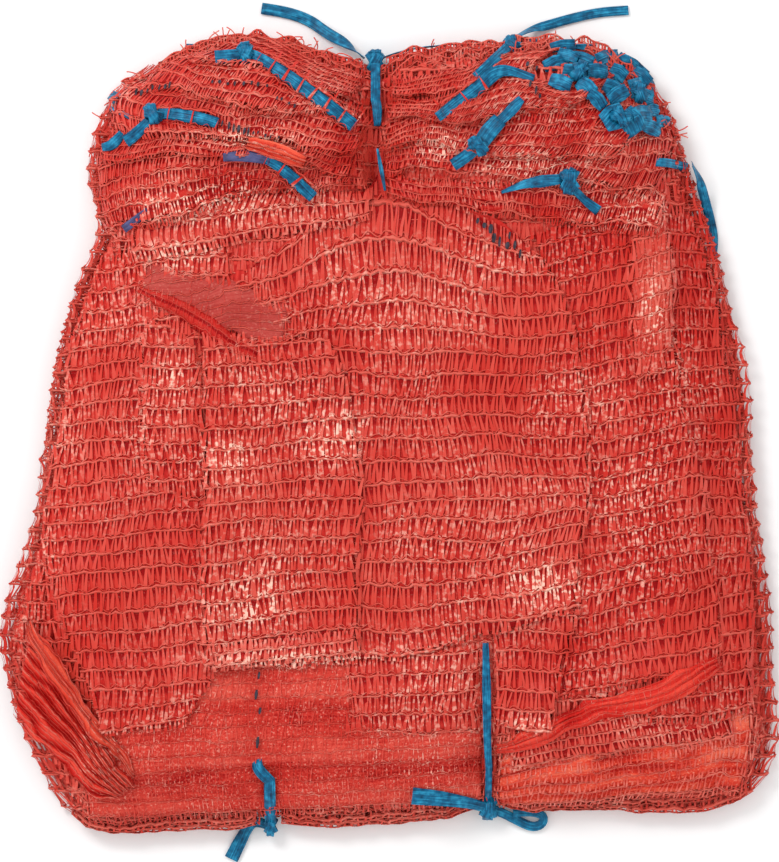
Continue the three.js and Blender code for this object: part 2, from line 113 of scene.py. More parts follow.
# The pile of bags
# About fifty empty bags lie flat on each other. What shows of the inner ones is a red mass with the rows of
# the knit printed through it, so they are one body, a little inside the loose layers that cover it.
PILE_INSET = 0.0075
PILE_EDGE = 0.17
PILE_SINK = 0.92
PILE_LIFT = 0.0012
SAME_POINT = 1e-5
PRINTED_ROW = 0.0098
PRINTED_STRAND = 0.0031
PILE_DRIFTS = 45.0
PILE_DRIFT = 0.006
PILE_PATCHES = 90.0
PILE_RELIEF = (0.8, 0.0012)
PILE_ROUGHNESS = 0.7
PILE_GLOSS = 0.15
PILE_DARK = (0.42, 0.008, 0.007, 1.0)
PILE_RED = (0.64, 0.030, 0.022, 1.0)
PILE_LIGHT = (0.70, 0.060, 0.043, 1.0)


def add_node(tree, kind, inputs=None, **settings):
    """Adds a node with its properties and inputs."""
    node = tree.nodes.new(kind)
    for name, value in settings.items():
        setattr(node, name, value)
    set_inputs(tree, node, inputs or {})
    return node


def math_node(tree, operation, first, second=0.0, third=0.0):
    """One sum on numbers."""
    inputs = {0: first, 1: second, 2: third}
    return add_node(tree, "ShaderNodeMath", inputs, operation=operation).outputs[0]


def vector_math(tree, operation, first, second):
    """One sum on vectors."""
    inputs = {0: first, 1: second}
    return add_node(tree, "ShaderNodeVectorMath", inputs, operation=operation).outputs[0]


def scaled(tree, vector, scale):
    """A vector made longer or shorter."""
    inputs = {0: vector, "Scale": scale}
    return add_node(tree, "ShaderNodeVectorMath", inputs, operation="SCALE").outputs[0]


def noise_texture(tree, place, scale, detail, seed=None):
    """Soft noise at places, as a level and a colour. A seed draws it anew."""
    inputs = {"Vector": place, "Scale": scale, "Detail": detail}
    if seed is None:
        return add_node(tree, "ShaderNodeTexNoise", inputs).outputs
    return add_node(tree, "ShaderNodeTexNoise", {**inputs, "W": seed}, noise_dimensions="4D").outputs


def colour_ramp(tree, level, *stops):
    """Colours blended along a level, from stops of a position and a colour."""
    ramp = add_node(tree, "ShaderNodeValToRGB", {"Fac": level})
    elements = ramp.color_ramp.elements
    while len(elements) < len(stops):
        elements.new(0.5)
    for element, (position, colour) in zip(elements, stops):
        element.position = position
        element.color = colour
    return ramp.outputs["Color"]


def dress_shader(tree, shader, colour, height, relief, roughness, gloss):
    """Gives a shader its colour, a relief of some strength and depth, its roughness and its gloss."""
    bump = add_node(tree, "ShaderNodeBump", {"Height": height, "Strength": relief[0], "Distance": relief[1]})
    look = {
        "Base Color": colour,
        "Normal": bump.outputs["Normal"],
        "Roughness": roughness,
        "Specular IOR Level": gloss,
    }
    set_inputs(tree, shader, look)


def add_piece(name, mesh):
    """A finished mesh as a piece of the bundle."""
    piece = bpy.data.objects.new(name, mesh)
    bpy.context.collection.objects.link(piece)
    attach(piece, "root")
    return piece


def pile_material():
    """Rows across the bag every 10 mm, strands between them and painted shade in the hollows, a bit uneven.
    """
    material, tree, shader = new_material("pile_knit")
    place = add_node(tree, "ShaderNodeTexCoord").outputs["Object"]
    drift = noise_texture(tree, place, PILE_DRIFTS, 2.0)["Color"]
    moved = vector_math(tree, "ADD", place, scaled(tree, drift, PILE_DRIFT))
    parts = add_node(tree, "ShaderNodeSeparateXYZ", {0: moved}).outputs
    rows = math_node(tree, "SINE", math_node(tree, "MULTIPLY", parts["Y"], 2 * math.pi / PRINTED_ROW))
    strands = math_node(tree, "SINE", math_node(tree, "MULTIPLY", parts["X"], 2 * math.pi / PRINTED_STRAND))
    chain = math_node(tree, "POWER", math_node(tree, "MULTIPLY_ADD", rows, 0.5, 0.5), 6.0)
    weave = math_node(tree, "MAXIMUM", chain, math_node(tree, "MULTIPLY_ADD", strands, 0.25, 0.4))
    patch = noise_texture(tree, place, PILE_PATCHES, 4.0)["Fac"]
    level = math_node(tree, "MULTIPLY_ADD", patch, 0.5, math_node(tree, "MULTIPLY", weave, 0.55))
    # Where the weave is low, between the strands, the dark end is painted shade in the hollows.
    colour = colour_ramp(tree, level, (0.25, PILE_DARK), (0.5, PILE_RED), (0.85, PILE_LIGHT))
    dress_shader(tree, shader, colour, level, PILE_RELIEF, PILE_ROUGHNESS, PILE_GLOSS)
    return material


pile_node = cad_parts["bag_stack"]
pile_points = [vertex.co.copy() for vertex in pile_node.data.vertices]
pile_faces = [tuple(face.vertices) for face in pile_node.data.polygons]
pile_tree = BVHTree.FromPolygons(pile_points, pile_faces)

pile_mesh = bpy.data.meshes.new("pile")
pile_mesh.from_pydata(pile_points, [], pile_faces)
pile_shape = bmesh.new()
pile_shape.from_mesh(pile_mesh)
bmesh.ops.remove_doubles(pile_shape, verts=pile_shape.verts, dist=SAME_POINT)
for vertex in pile_shape.verts:
    reach = max(math.hypot(vertex.co.x, vertex.co.y), 1e-6)
    inside = 1 - PILE_INSET * min(1.0, reach / PILE_EDGE) ** 4 / reach
    vertex.co = (vertex.co.x * inside, vertex.co.y * inside, PILE_LIFT + vertex.co.z * PILE_SINK)
for face in pile_shape.faces:
    face.smooth = True
pile_shape.to_mesh(pile_mesh)
pile_shape.free()
pile_mesh.materials.append(pile_material())
pile = add_piece("pile", pile_mesh)
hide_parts("bag_stack")

# The top of the pile is also kept as a grid of heights. Each layer that is laid raises it, so that the next
# one lies on top.
CELL = 0.002
GRID_HALF = (0.226, 0.236)
GRID_INSIDE = 1.001
CLEAR = 0.3
LEAST_HEIGHT = 0.001
EDGE_FALL = 0.0004
DOWN = Vector((0, 0, -1))
GRID_X, GRID_Y = (np.arange(-half, half + CELL / 20, CELL) for half in GRID_HALF)
heights = np.zeros((len(GRID_Y), len(GRID_X)))
body_tree = BVHTree.FromPolygons(
    [vertex.co for vertex in pile_mesh.vertices], [tuple(face.vertices) for face in pile_mesh.polygons]
)
for j, y in enumerate(GRID_Y):
    for i, x in enumerate(GRID_X):
        above = Vector((x, y, CLEAR))
        hit = pile_tree.ray_cast(above, DOWN)[0]
        body = body_tree.ray_cast(above, DOWN)[0]
        heights[j, i] = max(PILE_LIFT + hit.z * PILE_SINK if hit else 0.0, body.z if body else 0.0)


def height_at(x, y):
    """Height of the pile under places, smoothed between the grid's points."""
    a = np.clip((x - GRID_X[0]) / CELL, 0, len(GRID_X) - GRID_INSIDE)
    b = np.clip((y - GRID_Y[0]) / CELL, 0, len(GRID_Y) - GRID_INSIDE)
    i, j = a.astype(int), b.astype(int)
    s, t = a - i, b - j
    low = heights[j, i] * (1 - s) + heights[j, i + 1] * s
    high = heights[j + 1, i] * (1 - s) + heights[j + 1, i + 1] * s
    return low * (1 - t) + high * t


def around(grid):
    """The four neighbours of a grid's inner places."""
    return grid[:-2, 1:-1], grid[2:, 1:-1], grid[1:-1, :-2], grid[1:-1, 2:]


def raise_heights(points):
    """Takes a layer's points into the grid, then rounds the step at its edges."""
    i = np.clip(np.rint((points[..., 0] - GRID_X[0]) / CELL).astype(int), 0, len(GRID_X) - 1)
    j = np.clip(np.rint((points[..., 1] - GRID_Y[0]) / CELL).astype(int), 0, len(GRID_Y) - 1)
    np.maximum.at(heights, (j.ravel(), i.ravel()), points[..., 2].ravel())
    inside = heights > LEAST_HEIGHT
    blurred = heights.copy()
    blurred[1:-1, 1:-1] = sum(around(heights), heights[1:-1, 1:-1] * 4) / 8
    heights[inside] = np.maximum(blurred, heights - EDGE_FALL)[inside]


# The knit
# Each bag is knitted from narrow polyethylene tape: a thick chain across the bag about every 10 mm, a row of
# loops that stands on it, and flat strands from the loops to the next chain. A net is knitted flat, then
# laid along a sheet.
ROW_PITCH = 0.0099
CHAIN_THICKNESS = 0.00078
CHAIN_WAVE = 0.0003
CHAIN_UNEVEN = 0.003
CHAIN_SWELL = (0.3, 0.7, 0.5, 1.5)
CHAIN_PROUD = 0.0001
CHAIN_TONE = 0.5
LOOP_LENGTH = 0.0076
LOOP_THICKNESS = 0.55
LOOP_FOOT = 0.04
LOOP_HEIGHT = 0.2
LOOP_PROUD = 0.0002
LOOP_TONE = 0.35
LOOP_DRIFT = 9.0
LOOP_SHIFT = 900.0
YARN_TONES = 0.4
ROW_WANDER = 0.0008
ROW_DRIFTS = 60.0
ROW_KNOBS = 260.0
STRAND_SPACING = 0.0021
STRAND_WIDTH = 0.00088
STRAND_FLATNESS = 0.22
STRAND_TAPER = (1.25, 0.65)
STRAND_LEAN = 0.08
STRAND_SWAY = 0.15
STRAND_ROLL = 1.5
STRAND_TIP = 0.06
STRAND_BREADTH = (0.7, 1.2)
STRAND_TONE = (0.15, 0.5)
STRAND_MIDDLE = 0.57
STRAND_HALF = 0.46
STRAY_LEAST = (-0.0007, -0.0006, -0.0002)
STRAY_MOST = (0.0007, 0.0006, 0.0004)
TIP_SEED = 5
BREADTH_SEED = 9
TONE_SEED = 13
NEAR_CORNER = (0.0001, 0.0001, -1.0)
NET_CLOUDS = 16.0
NET_PATCHES = 22.0
NET_SPECKS = 420.0
NET_CRINKLES = 900.0
NET_RELIEF = (0.35, 0.0003)
NET_GLOSS = 0.15
NET_DEEP = (0.56, 0.020, 0.012, 1.0)
NET_RED = (0.65, 0.063, 0.043, 1.0)
NET_BRIGHT = (0.76, 0.158, 0.114, 1.0)
NET_PALE = (0.95, 0.55, 0.43, 1.0)


def map_range(tree, level, low, high, to_low=0.0, to_high=1.0):
    """A level between two others, taken to a new range and kept in it."""
    inputs = {0: level, 1: low, 2: high, 3: to_low, 4: to_high}
    return add_node(tree, "ShaderNodeMapRange", inputs).outputs[0]


def kept_number(tree, label):
    """A number that is kept for each point of a mesh."""
    return add_node(tree, "ShaderNodeAttribute", attribute_name=label).outputs["Fac"]


def glinting(tree, colour, glint):
    """A colour with pale glints."""
    inputs = {"Factor": glint, 6: colour, 7: NET_PALE}
    return add_node(tree, "ShaderNodeMix", inputs, data_type="RGBA").outputs[2]


def net_material():
    """Satin polyethylene with a tone for each strand, painted shade in creases, and painted sheen and
    glints.
    """
    material, tree, shader = new_material("knit_tape")
    tone, shade, worn = [kept_number(tree, label) for label in ("tone", "shade", "worn")]
    place = add_node(tree, "ShaderNodeTexCoord").outputs["Object"]
    cloud = noise_texture(tree, place, NET_CLOUDS, 5.0)["Fac"]
    level = math_node(tree, "MULTIPLY_ADD", cloud, 0.7, math_node(tree, "SUBTRACT", tone, 0.35))
    # Painted shade of creases, pleats and shade patches darkens the colour.
    level = math_node(tree, "ADD", level, math_node(tree, "MULTIPLY", shade, 0.3))
    # Painted sheen lightens the net in the sheen patches.
    level = math_node(tree, "MULTIPLY_ADD", worn, 0.4, level)
    colour = colour_ramp(tree, level, (0.0, NET_DEEP), (0.45, NET_RED), (1.0, NET_BRIGHT))
    # Painted glints: pale specks in random patches, and many more over the sheen patches.
    patch = map_range(tree, noise_texture(tree, place, NET_PATCHES, 2.0)["Fac"], 0.42, 0.7)
    patch = math_node(tree, "MULTIPLY_ADD", patch, 0.7, math_node(tree, "MULTIPLY", worn, 1.8))
    speck = map_range(tree, noise_texture(tree, place, NET_SPECKS, 3.0)["Fac"], 0.49, 0.66)
    glint = math_node(tree, "MINIMUM", math_node(tree, "MULTIPLY", patch, speck), 1.0)
    crinkle = noise_texture(tree, place, NET_CRINKLES, 1.0)["Fac"]
    roughness = math_node(tree, "MULTIPLY_ADD", crinkle, 0.3, 0.25)
    dress_shader(tree, shader, glinting(tree, colour, glint), crinkle, NET_RELIEF, roughness, NET_GLOSS)
    return material


def knit_tree():
    """A flat net from named sizes, laid along a sheet by the sheet's map of its cloth."""
    tree = bpy.data.node_groups.new("knit", "GeometryNodeTree")
    sizes = (
        "Width", "Length", "Row Pitch", "Strand Spacing", "Chain Thickness", "Strand Width",
        "Wander", "Tone",
    )
    sockets = {"Sheet": "Geometry", **dict.fromkeys(sizes, "Float"), "Seed": "Int", "Material": "Material"}
    for name, kind in sockets.items():
        tree.interface.new_socket(name, in_out="INPUT", socket_type="NodeSocket" + kind)
    tree.interface.new_socket("Net", in_out="OUTPUT", socket_type="NodeSocketGeometry")
    given = tree.nodes.new("NodeGroupInput").outputs

    def number(operation, *values):
        """One sum on numbers."""
        return math_node(tree, operation, *values)

    def vector(x=0.0, y=0.0, z=0.0):
        """A vector from three numbers."""
        return add_node(tree, "ShaderNodeCombineXYZ", {0: x, 1: y, 2: z}).outputs[0]

    def shape(kind, inputs=None, **settings):
        """What one step of the shaping gives."""
        return add_node(tree, "GeometryNode" + kind, inputs, **settings).outputs[0]

    here = shape("InputPosition")
    along = add_node(tree, "ShaderNodeSeparateXYZ", {0: here}).outputs

    # The chains and the loops on them
    rows = number("FLOOR", number("DIVIDE", given["Length"], given["Row Pitch"]))
    first_row = vector(y=number("MULTIPLY", given["Row Pitch"], 0.5))
    row_step = vector(y=given["Row Pitch"])
    row_starts = shape("MeshLine", {"Count": rows, "Start Location": first_row, "Offset": row_step})
    drift = noise_texture(tree, here, ROW_DRIFTS, 1.0, given["Seed"])["Fac"]
    wander = number("MULTIPLY", number("SUBTRACT", drift, 0.5), given["Wander"])
    knobs = noise_texture(tree, here, ROW_KNOBS, 1.0, given["Seed"])["Fac"]
    uneven = number("MULTIPLY_ADD", number("SUBTRACT", knobs, 0.5), CHAIN_UNEVEN, wander)
    swell = map_range(tree, knobs, *CHAIN_SWELL)
    turn = number("MULTIPLY", along["X"], 2 * math.pi / LOOP_LENGTH)
    turn = number("MULTIPLY_ADD", drift, LOOP_DRIFT, turn)
    turn = number("MULTIPLY_ADD", along["Y"], LOOP_SHIFT, turn)

    def yarn(step, beside, above, thickness, tone):
        """A yarn along every row, at a distance beside and above it."""
        count = number("FLOOR", number("DIVIDE", given["Width"], step))
        line = shape("MeshLine", {"Count": count, "Offset": (step, 0.0, 0.0)})
        lines = shape("InstanceOnPoints", {"Points": row_starts, "Instance": line})
        lines = shape("RealizeInstances", {0: lines})
        shift = vector(y=number("ADD", beside, uneven), z=above)
        lines = shape("SetPosition", {0: lines, "Offset": shift})
        lines = shape("MeshToCurve", {0: lines})
        section = shape("CurvePrimitiveCircle", {"Resolution": 3, "Radius": thickness})
        ends = {"Scale": swell, "Fill Caps": True}
        tubes = shape("CurveToMesh", {"Curve": lines, "Profile Curve": section, **ends})
        tubes = shape("SetShadeSmooth", {0: tubes, "Shade Smooth": True})
        tone = number("ADD", number("MULTIPLY_ADD", drift, YARN_TONES, tone), given["Tone"])
        return shape("StoreNamedAttribute", {0: tubes, "Name": "tone", "Value": tone})

    wave = number("MULTIPLY", number("SINE", turn), CHAIN_WAVE)
    chains = yarn(LOOP_LENGTH / 4, wave, CHAIN_PROUD, given["Chain Thickness"], CHAIN_TONE)
    arch = number("MULTIPLY_ADD", number("SINE", turn), 0.5, 0.5)
    arch = number("MULTIPLY", number("MULTIPLY_ADD", arch, LOOP_HEIGHT, LOOP_FOOT), given["Row Pitch"])
    loop_thickness = number("MULTIPLY", given["Chain Thickness"], LOOP_THICKNESS)
    loops = yarn(LOOP_LENGTH / 6, arch, LOOP_PROUD, loop_thickness, LOOP_TONE)

    # The strands between two chains
    gaps = number("ADD", rows, 1.0)
    strand_grid = shape(
        "MeshGrid",
        {
            "Size X": given["Width"],
            "Size Y": number("MULTIPLY", given["Row Pitch"], rows),
            "Vertices X": number("FLOOR", number("DIVIDE", given["Width"], given["Strand Spacing"])),
            "Vertices Y": gaps,
        },
    )
    half_rows = number("MULTIPLY_ADD", rows, 0.5, STRAND_MIDDLE - 0.5)
    middle_x = number("MULTIPLY", given["Width"], 0.5)
    middle_y = number("MULTIPLY", given["Row Pitch"], half_rows)
    strand_points = shape("Transform", {0: strand_grid, "Translation": vector(middle_x, middle_y)})
    stray = {0: STRAY_LEAST, 1: STRAY_MOST, "Seed": given["Seed"]}
    stray = add_node(tree, "FunctionNodeRandomValue", stray, data_type="FLOAT_VECTOR").outputs[0]
    stray = vector_math(tree, "ADD", stray, vector(y=wander))
    strand_points = shape("SetPosition", {0: strand_points, "Offset": stray})
    strand_index = shape("InputIndex")

    def drawn_number(low, high, seed):
        """A number drawn anew for each strand."""
        inputs = {2: low, 3: high, "ID": strand_index, "Seed": seed}
        return add_node(tree, "FunctionNodeRandomValue", inputs).outputs[1]

    column = number("FLOOR", number("DIVIDE", strand_index, gaps))
    side = number("MULTIPLY_ADD", number("FLOORED_MODULO", column, 2.0), 2.0, -1.0)
    sway = drawn_number(-STRAND_SWAY, STRAND_SWAY, given["Seed"])
    tip = drawn_number(-STRAND_TIP, STRAND_TIP, TIP_SEED)
    lean = number("MULTIPLY_ADD", side, STRAND_LEAN, sway)
    facing = vector(tip, number("MULTIPLY", sway, STRAND_ROLL), lean)
    facing = add_node(tree, "FunctionNodeEulerToRotation", {0: facing}).outputs[0]
    spread = vector(drawn_number(*STRAND_BREADTH, BREADTH_SEED), 1.0, 1.0)
    half_strand = number("MULTIPLY", given["Row Pitch"], STRAND_HALF)
    strand_line = shape(
        "CurveQuadraticBezier",
        {
            "Resolution": 2,
            "Start": vector(y=number("MULTIPLY", half_strand, -1.0)),
            "Middle": (0.0, 0.0, 0.0),
            "End": vector(y=half_strand),
        },
    )
    section = shape("CurvePrimitiveCircle", {"Resolution": 3, "Radius": given["Strand Width"]})
    flat = {"Rotation": (0.0, 0.0, math.pi / 2), "Scale": (STRAND_FLATNESS, 1.0, 1.0)}
    section = shape("Transform", {0: section, **flat})
    taper = map_range(tree, shape("SplineParameter"), 0.0, 1.0, *STRAND_TAPER)
    ends = {"Scale": taper, "Fill Caps": True}
    strand = shape("CurveToMesh", {"Curve": strand_line, "Profile Curve": section, **ends})
    strand = shape("SetShadeSmooth", {0: strand, "Shade Smooth": False})
    turned = {"Rotation": facing, "Scale": spread}
    strands = shape("InstanceOnPoints", {"Points": strand_points, "Instance": strand, **turned})
    tone = number("ADD", drawn_number(*STRAND_TONE, TONE_SEED), given["Tone"])
    strands = shape("StoreNamedAttribute", {0: strands, "Name": "tone", "Value": tone}, domain="INSTANCE")
    strands = shape("RealizeInstances", {0: strands})
    inside = vector_math(tree, "MAXIMUM", here, NEAR_CORNER)
    inside = vector_math(tree, "MINIMUM", inside, vector(given["Width"], given["Length"], 1.0))
    strands = shape("SetPosition", {0: strands, "Position": inside})

    # The flat net is laid along the sheet
    joined = add_node(tree, "GeometryNodeJoinGeometry")
    for part in (chains, loops, strands):
        tree.links.new(part, joined.inputs[0])
    cloth = shape("InputNamedAttribute", {"Name": "cloth"}, data_type="FLOAT_VECTOR")
    upright = shape("InputNamedAttribute", {"Name": "facing"}, data_type="FLOAT_VECTOR")

    def on_sheet(value, **settings):
        """What the sheet has where a point of the flat net comes to lie."""
        inputs = {"Mesh": given["Sheet"], 1: value, "UV Map": cloth, "Sample UV": here}
        return add_node(tree, "GeometryNodeSampleUVSurface", inputs, **settings).outputs

    place = on_sheet(here, data_type="FLOAT_VECTOR")
    normal = on_sheet(upright, data_type="FLOAT_VECTOR")[0]
    off_sheet = add_node(tree, "FunctionNodeBooleanMath", {0: place["Is Valid"]}, operation="NOT").outputs[0]
    net = shape("DeleteGeometry", {0: joined.outputs[0], "Selection": off_sheet})
    # The sheet's painted shade and painted sheen are carried over to its net.
    for label in ("shade", "worn"):
        own = shape("InputNamedAttribute", {"Name": label})
        net = shape("StoreNamedAttribute", {0: net, "Name": label, "Value": on_sheet(own)[0]})
    laid = vector_math(tree, "ADD", place[0], scaled(tree, normal, along["Z"]))
    net = shape("SetPosition", {0: net, "Position": laid})
    net = shape("RealizeInstances", {0: net})
    net = shape("SetMaterial", {0: net, "Material": given["Material"]})
    tree.links.new(net, tree.nodes.new("NodeGroupOutput").inputs[0])
    return tree


KNIT = knit_tree()
KNIT_SOCKETS = {item.name: item.identifier for item in KNIT.interface.items_tree if item.in_out == "INPUT"}
NET_MATERIAL = net_material()


def unit(vectors):
    """Vectors of length one."""
    return vectors / np.maximum(np.linalg.norm(vectors, axis=-1, keepdims=True), 1e-12)


def flat_weave(points, flat):
    """Places in a flat rectangle of cloth for a grid of points, with the rows along its second side."""
    rows, columns = points.shape[:2]
    return np.stack(np.meshgrid(np.linspace(0, flat[0], columns), np.linspace(0, flat[1], rows)), axis=-1)


def set_looks(mesh, looks):
    """Keeps numbers for each point of a mesh, by name: its painted shade in the folds and its painted sheen.
    """
    for name, values in looks.items():
        attribute = mesh.attributes.new(name, "FLOAT", "POINT")
        attribute.data.foreach_set("value", values.astype(np.float32).ravel())


def knit_mesh(
    name, points, weave, seed, keep=None, looks=None, pitch=ROW_PITCH, spacing=STRAND_SPACING, chain=1.0,
    strand=1.0, wander=ROW_WANDER, tone=0.0,
):
    """Knits a net along a grid of points, where keep allows. weave gives their places in the flat cloth."""
    rows, columns = points.shape[:2]
    flat = weave.max(axis=(0, 1)).tolist()
    mesh = bpy.data.meshes.new(name)
    corner = np.arange(rows * columns).reshape(rows, columns)
    corners = [corner[:-1, :-1], corner[:-1, 1:], corner[1:, 1:], corner[1:, :-1]]
    faces = np.stack(corners, axis=-1).reshape(-1, 4)
    if keep is not None:
        faces = faces[keep.ravel()[faces].all(axis=1)]
    mesh.from_pydata(points.reshape(-1, 3).tolist(), [], faces.tolist())
    layer = mesh.uv_layers.new(name="cloth")
    layer.data.foreach_set("uv", weave.reshape(-1, 2)[faces.reshape(-1)].astype(np.float32).ravel())
    facing = mesh.attributes.new("facing", "FLOAT_VECTOR", "POINT")
    normals = unit(np.cross(np.gradient(points, axis=1), np.gradient(points, axis=0)))
    facing.data.foreach_set("vector", normals.astype(np.float32).ravel())
    set_looks(mesh, looks or {})
    sheet = bpy.data.objects.new(name + "_sheet", mesh)
    bpy.context.collection.objects.link(sheet)
    modifier = sheet.modifiers.new("knit", "NODES")
    modifier.node_group = KNIT
    sizes = {
        "Width": flat[0],
        "Length": flat[1],
        "Row Pitch": pitch,
        "Strand Spacing": spacing,
        "Chain Thickness": CHAIN_THICKNESS * chain,
        "Strand Width": STRAND_WIDTH * strand,
        "Wander": wander,
        "Tone": tone,
        "Seed": seed,
        "Material": NET_MATERIAL,
    }
    for label, value in sizes.items():
        modifier[KNIT_SOCKETS[label]] = value
    shown = sheet.evaluated_get(bpy.context.evaluated_depsgraph_get())
    net_mesh = bpy.data.meshes.new_from_object(shown)
    net_mesh.name = name
    bpy.data.objects.remove(sheet)
    bpy.data.meshes.remove(mesh)
    return net_mesh


def join_meshes(meshes):
    """Several meshes of one material as one."""
    objects = [bpy.data.objects.new("part", mesh) for mesh in meshes]
    for item in objects:
        bpy.context.collection.objects.link(item)
    with bpy.context.temp_override(active_object=objects[0], selected_editable_objects=objects):
        bpy.ops.object.join()
    whole = objects[0].data
    bpy.data.objects.remove(objects[0])
    return whole


# The cloth of the layers
# Parts of bags lie loose on the pile, creased, pleated and crumpled. Just under the net of each lies the
# next bag, which shows through as a closed cloth: streaks of its strands, and dark slots below the chains
# that are painted shade.
CRUMPLE_SEED = 3
CLOTH_SUNK = 0.0004
CLOTH_THICKNESS = 0.0006
CLOTH_STEP = 0.0018
CLOTH_LEAST = 8
CLOTH_SMALL = 14
CLOTH_LOWEST = 0.004
KNIT_HEIGHT = 0.0009
EDGE_SAMPLES = 120
EDGE_LIFT = 0.0004
EDGE_ROUND = 0.003
EDGE_SOFT = 0.0022
EDGE_CALM = 0.004
FOLD_DRAW = 7.31
FINE_FOLDS = 2.3
CRUMPLES = 25
CRUMPLE_DRAW = 1.7
RAGS = 110
RAG_DRAW = 2.9
RAG_REACH = 0.005
PLEAT_RISE = 0.8
PLEAT_FALL = 0.2
SHADE_WRINKLE = 0.002
SHADE_PLEAT = 0.002
# Where the rows are drawn up to the top tie: its place across the bundle, and how far to the sides and down
# that is felt.
DRAWN_MIDDLE = -0.005
DRAWN_HALF = 0.06
DRAWN_FROM = -0.03
DRAWN_LENGTH = 0.15
SLOT_MIDDLE = 0.78
SLOT_HALF = 0.36
UNDER_CLOUDS = 25.0
UNDER_CRUMBS = 850.0
UNDER_RELIEF = (0.7, 0.0008)
UNDER_GLOSS = 0.08
UNDER_SHADES = ((0.30, 0.002, 0.003, 1.0), (0.53, 0.018, 0.014, 1.0), (0.62, 0.040, 0.028, 1.0))
FOLD_SHADES = ((0.34, 0.004, 0.004, 1.0), (0.60, 0.038, 0.026, 1.0), (0.74, 0.095, 0.064, 1.0))
FILM_SHADES = ((0.32, 0.015, 0.014, 1.0), (0.46, 0.050, 0.041, 1.0), (0.57, 0.100, 0.080, 1.0))
BRIGHT_SHADES = ((0.36, 0.002, 0.002, 1.0), (0.67, 0.019, 0.013, 1.0), (0.83, 0.075, 0.046, 1.0))
ORANGE_SHADES = ((0.46, 0.010, 0.007, 1.0), (0.74, 0.052, 0.027, 1.0), (0.86, 0.135, 0.075, 1.0))
# Patches of painted sheen, where the net catches the light: middle and half size in millimetres, and
# strength.
SHEEN_PATCHES = (
    (-30, 0, 16, 15, 0.9), (-82, -12, 9, 11, 0.8), (-56, 17, 30, 17, 0.45), (82, -78, 19, 11, 1.0),
    (-53, -116, 40, 4.5, 1.0), (-76, -91, 24, 15, 0.6), (-108, 93, 18, 7, 1.0), (-95, 118, 36, 9, 0.6),
    (137, 64, 6, 17, 1.0), (132, 116, 16, 9, 0.7), (28, 148, 10, 8, 0.8), (-71, 152, 26, 6, 0.8),
    (72, 138, 22, 8, 0.7), (126, -30, 16, 26, 0.4), (60, 90, 22, 10, 0.4), (-110, 30, 9, 14, 0.5),
    (73, -150, 13, 5, 0.8),
)
# Patches of painted shade in hollows and along layer edges, where the cloth looks deep red, given the same
# way.
SHADE_PATCHES = (
    (-78, 128, 28, 6, 1.7), (82, 163, 22, 7, 1.7), (100, 98, 32, 14, 1.5), (93, -126, 6, 26, 1.6),
    (-22, 146, 8, 20, 1.2), (140, -10, 9, 60, 0.8), (-98, -30, 5, 60, 0.8),
)
noise.seed_set(CRUMPLE_SEED)


def reach_along(points):
    """How far along a line each of its points lies."""
    return np.concatenate([[0], np.cumsum(np.linalg.norm(np.diff(points, axis=0), axis=1))])


def line_length(points):
    """Length of a line through points."""
    return float(np.linalg.norm(np.diff(points, axis=0), axis=1).sum())


def smooth_line(places, count):
    """Evenly spaced points on a smooth line through places that are given in millimetres."""
    corners = np.array(places, dtype=float) / 1000
    for _ in range(3):
        cut = np.empty((2 * len(corners) - 2, corners.shape[1]))
        cut[0::2] = corners[:-1] * 0.75 + corners[1:] * 0.25
        cut[1::2] = corners[:-1] * 0.25 + corners[1:] * 0.75
        corners = np.concatenate([corners[:1], cut, corners[-1:]])
    reach = reach_along(corners)
    even = np.linspace(0, reach[-1], count)
    return np.stack([np.interp(even, reach, values) for values in corners.T], axis=-1)


def patches_at(patches, x, y):
    """How strong the nearest of some soft patches is at places."""
    strongest = np.zeros(x.shape)
    for middle_x, middle_y, half_x, half_y, strength in patches:
        far = ((x * 1000 - middle_x) / half_x) ** 2 + ((y * 1000 - middle_y) / half_y) ** 2
        strongest = np.maximum(strongest, strength * np.exp(-far))
    return strongest


def woven_across(plan, slope, drawn):
    """Places in the flat cloth where rows run across the bundle, at a slope and drawn up to the top tie."""
    x, y = plan[..., 0], plan[..., 1]
    pull = drawn * np.exp(-(((x - DRAWN_MIDDLE) / DRAWN_HALF) ** 2))
    pull *= np.clip((y - DRAWN_FROM) / DRAWN_LENGTH, 0, 1) ** 2
    weave = np.stack([x, y - slope * x - pull], axis=-1)
    return weave - weave.min(axis=(0, 1))


def crumpled(x, y, border, seed, wave, crumple, ragged):
    """Places of a sheet after crumpling, most at its ragged border, and how its folds rise there."""
    x, y = x.copy(), y.copy()
    folds = np.empty(x.shape)
    for index in np.ndindex(x.shape):
        spot = Vector((x[index] / wave[0], y[index] / wave[1], seed * FOLD_DRAW))
        folds[index] = noise.noise(spot) + 0.5 * noise.noise(spot * FINE_FOLDS)
        drift = noise.noise_vector(Vector((x[index] * CRUMPLES, y[index] * CRUMPLES, seed * CRUMPLE_DRAW)))
        rags = noise.noise_vector(Vector((x[index] * RAGS, y[index] * RAGS, seed * RAG_DRAW)))
        push = drift * crumple + rags * (ragged * math.exp(-border[index] / RAG_REACH))
        x[index] += push.x
        y[index] += push.y
    return x, y, folds


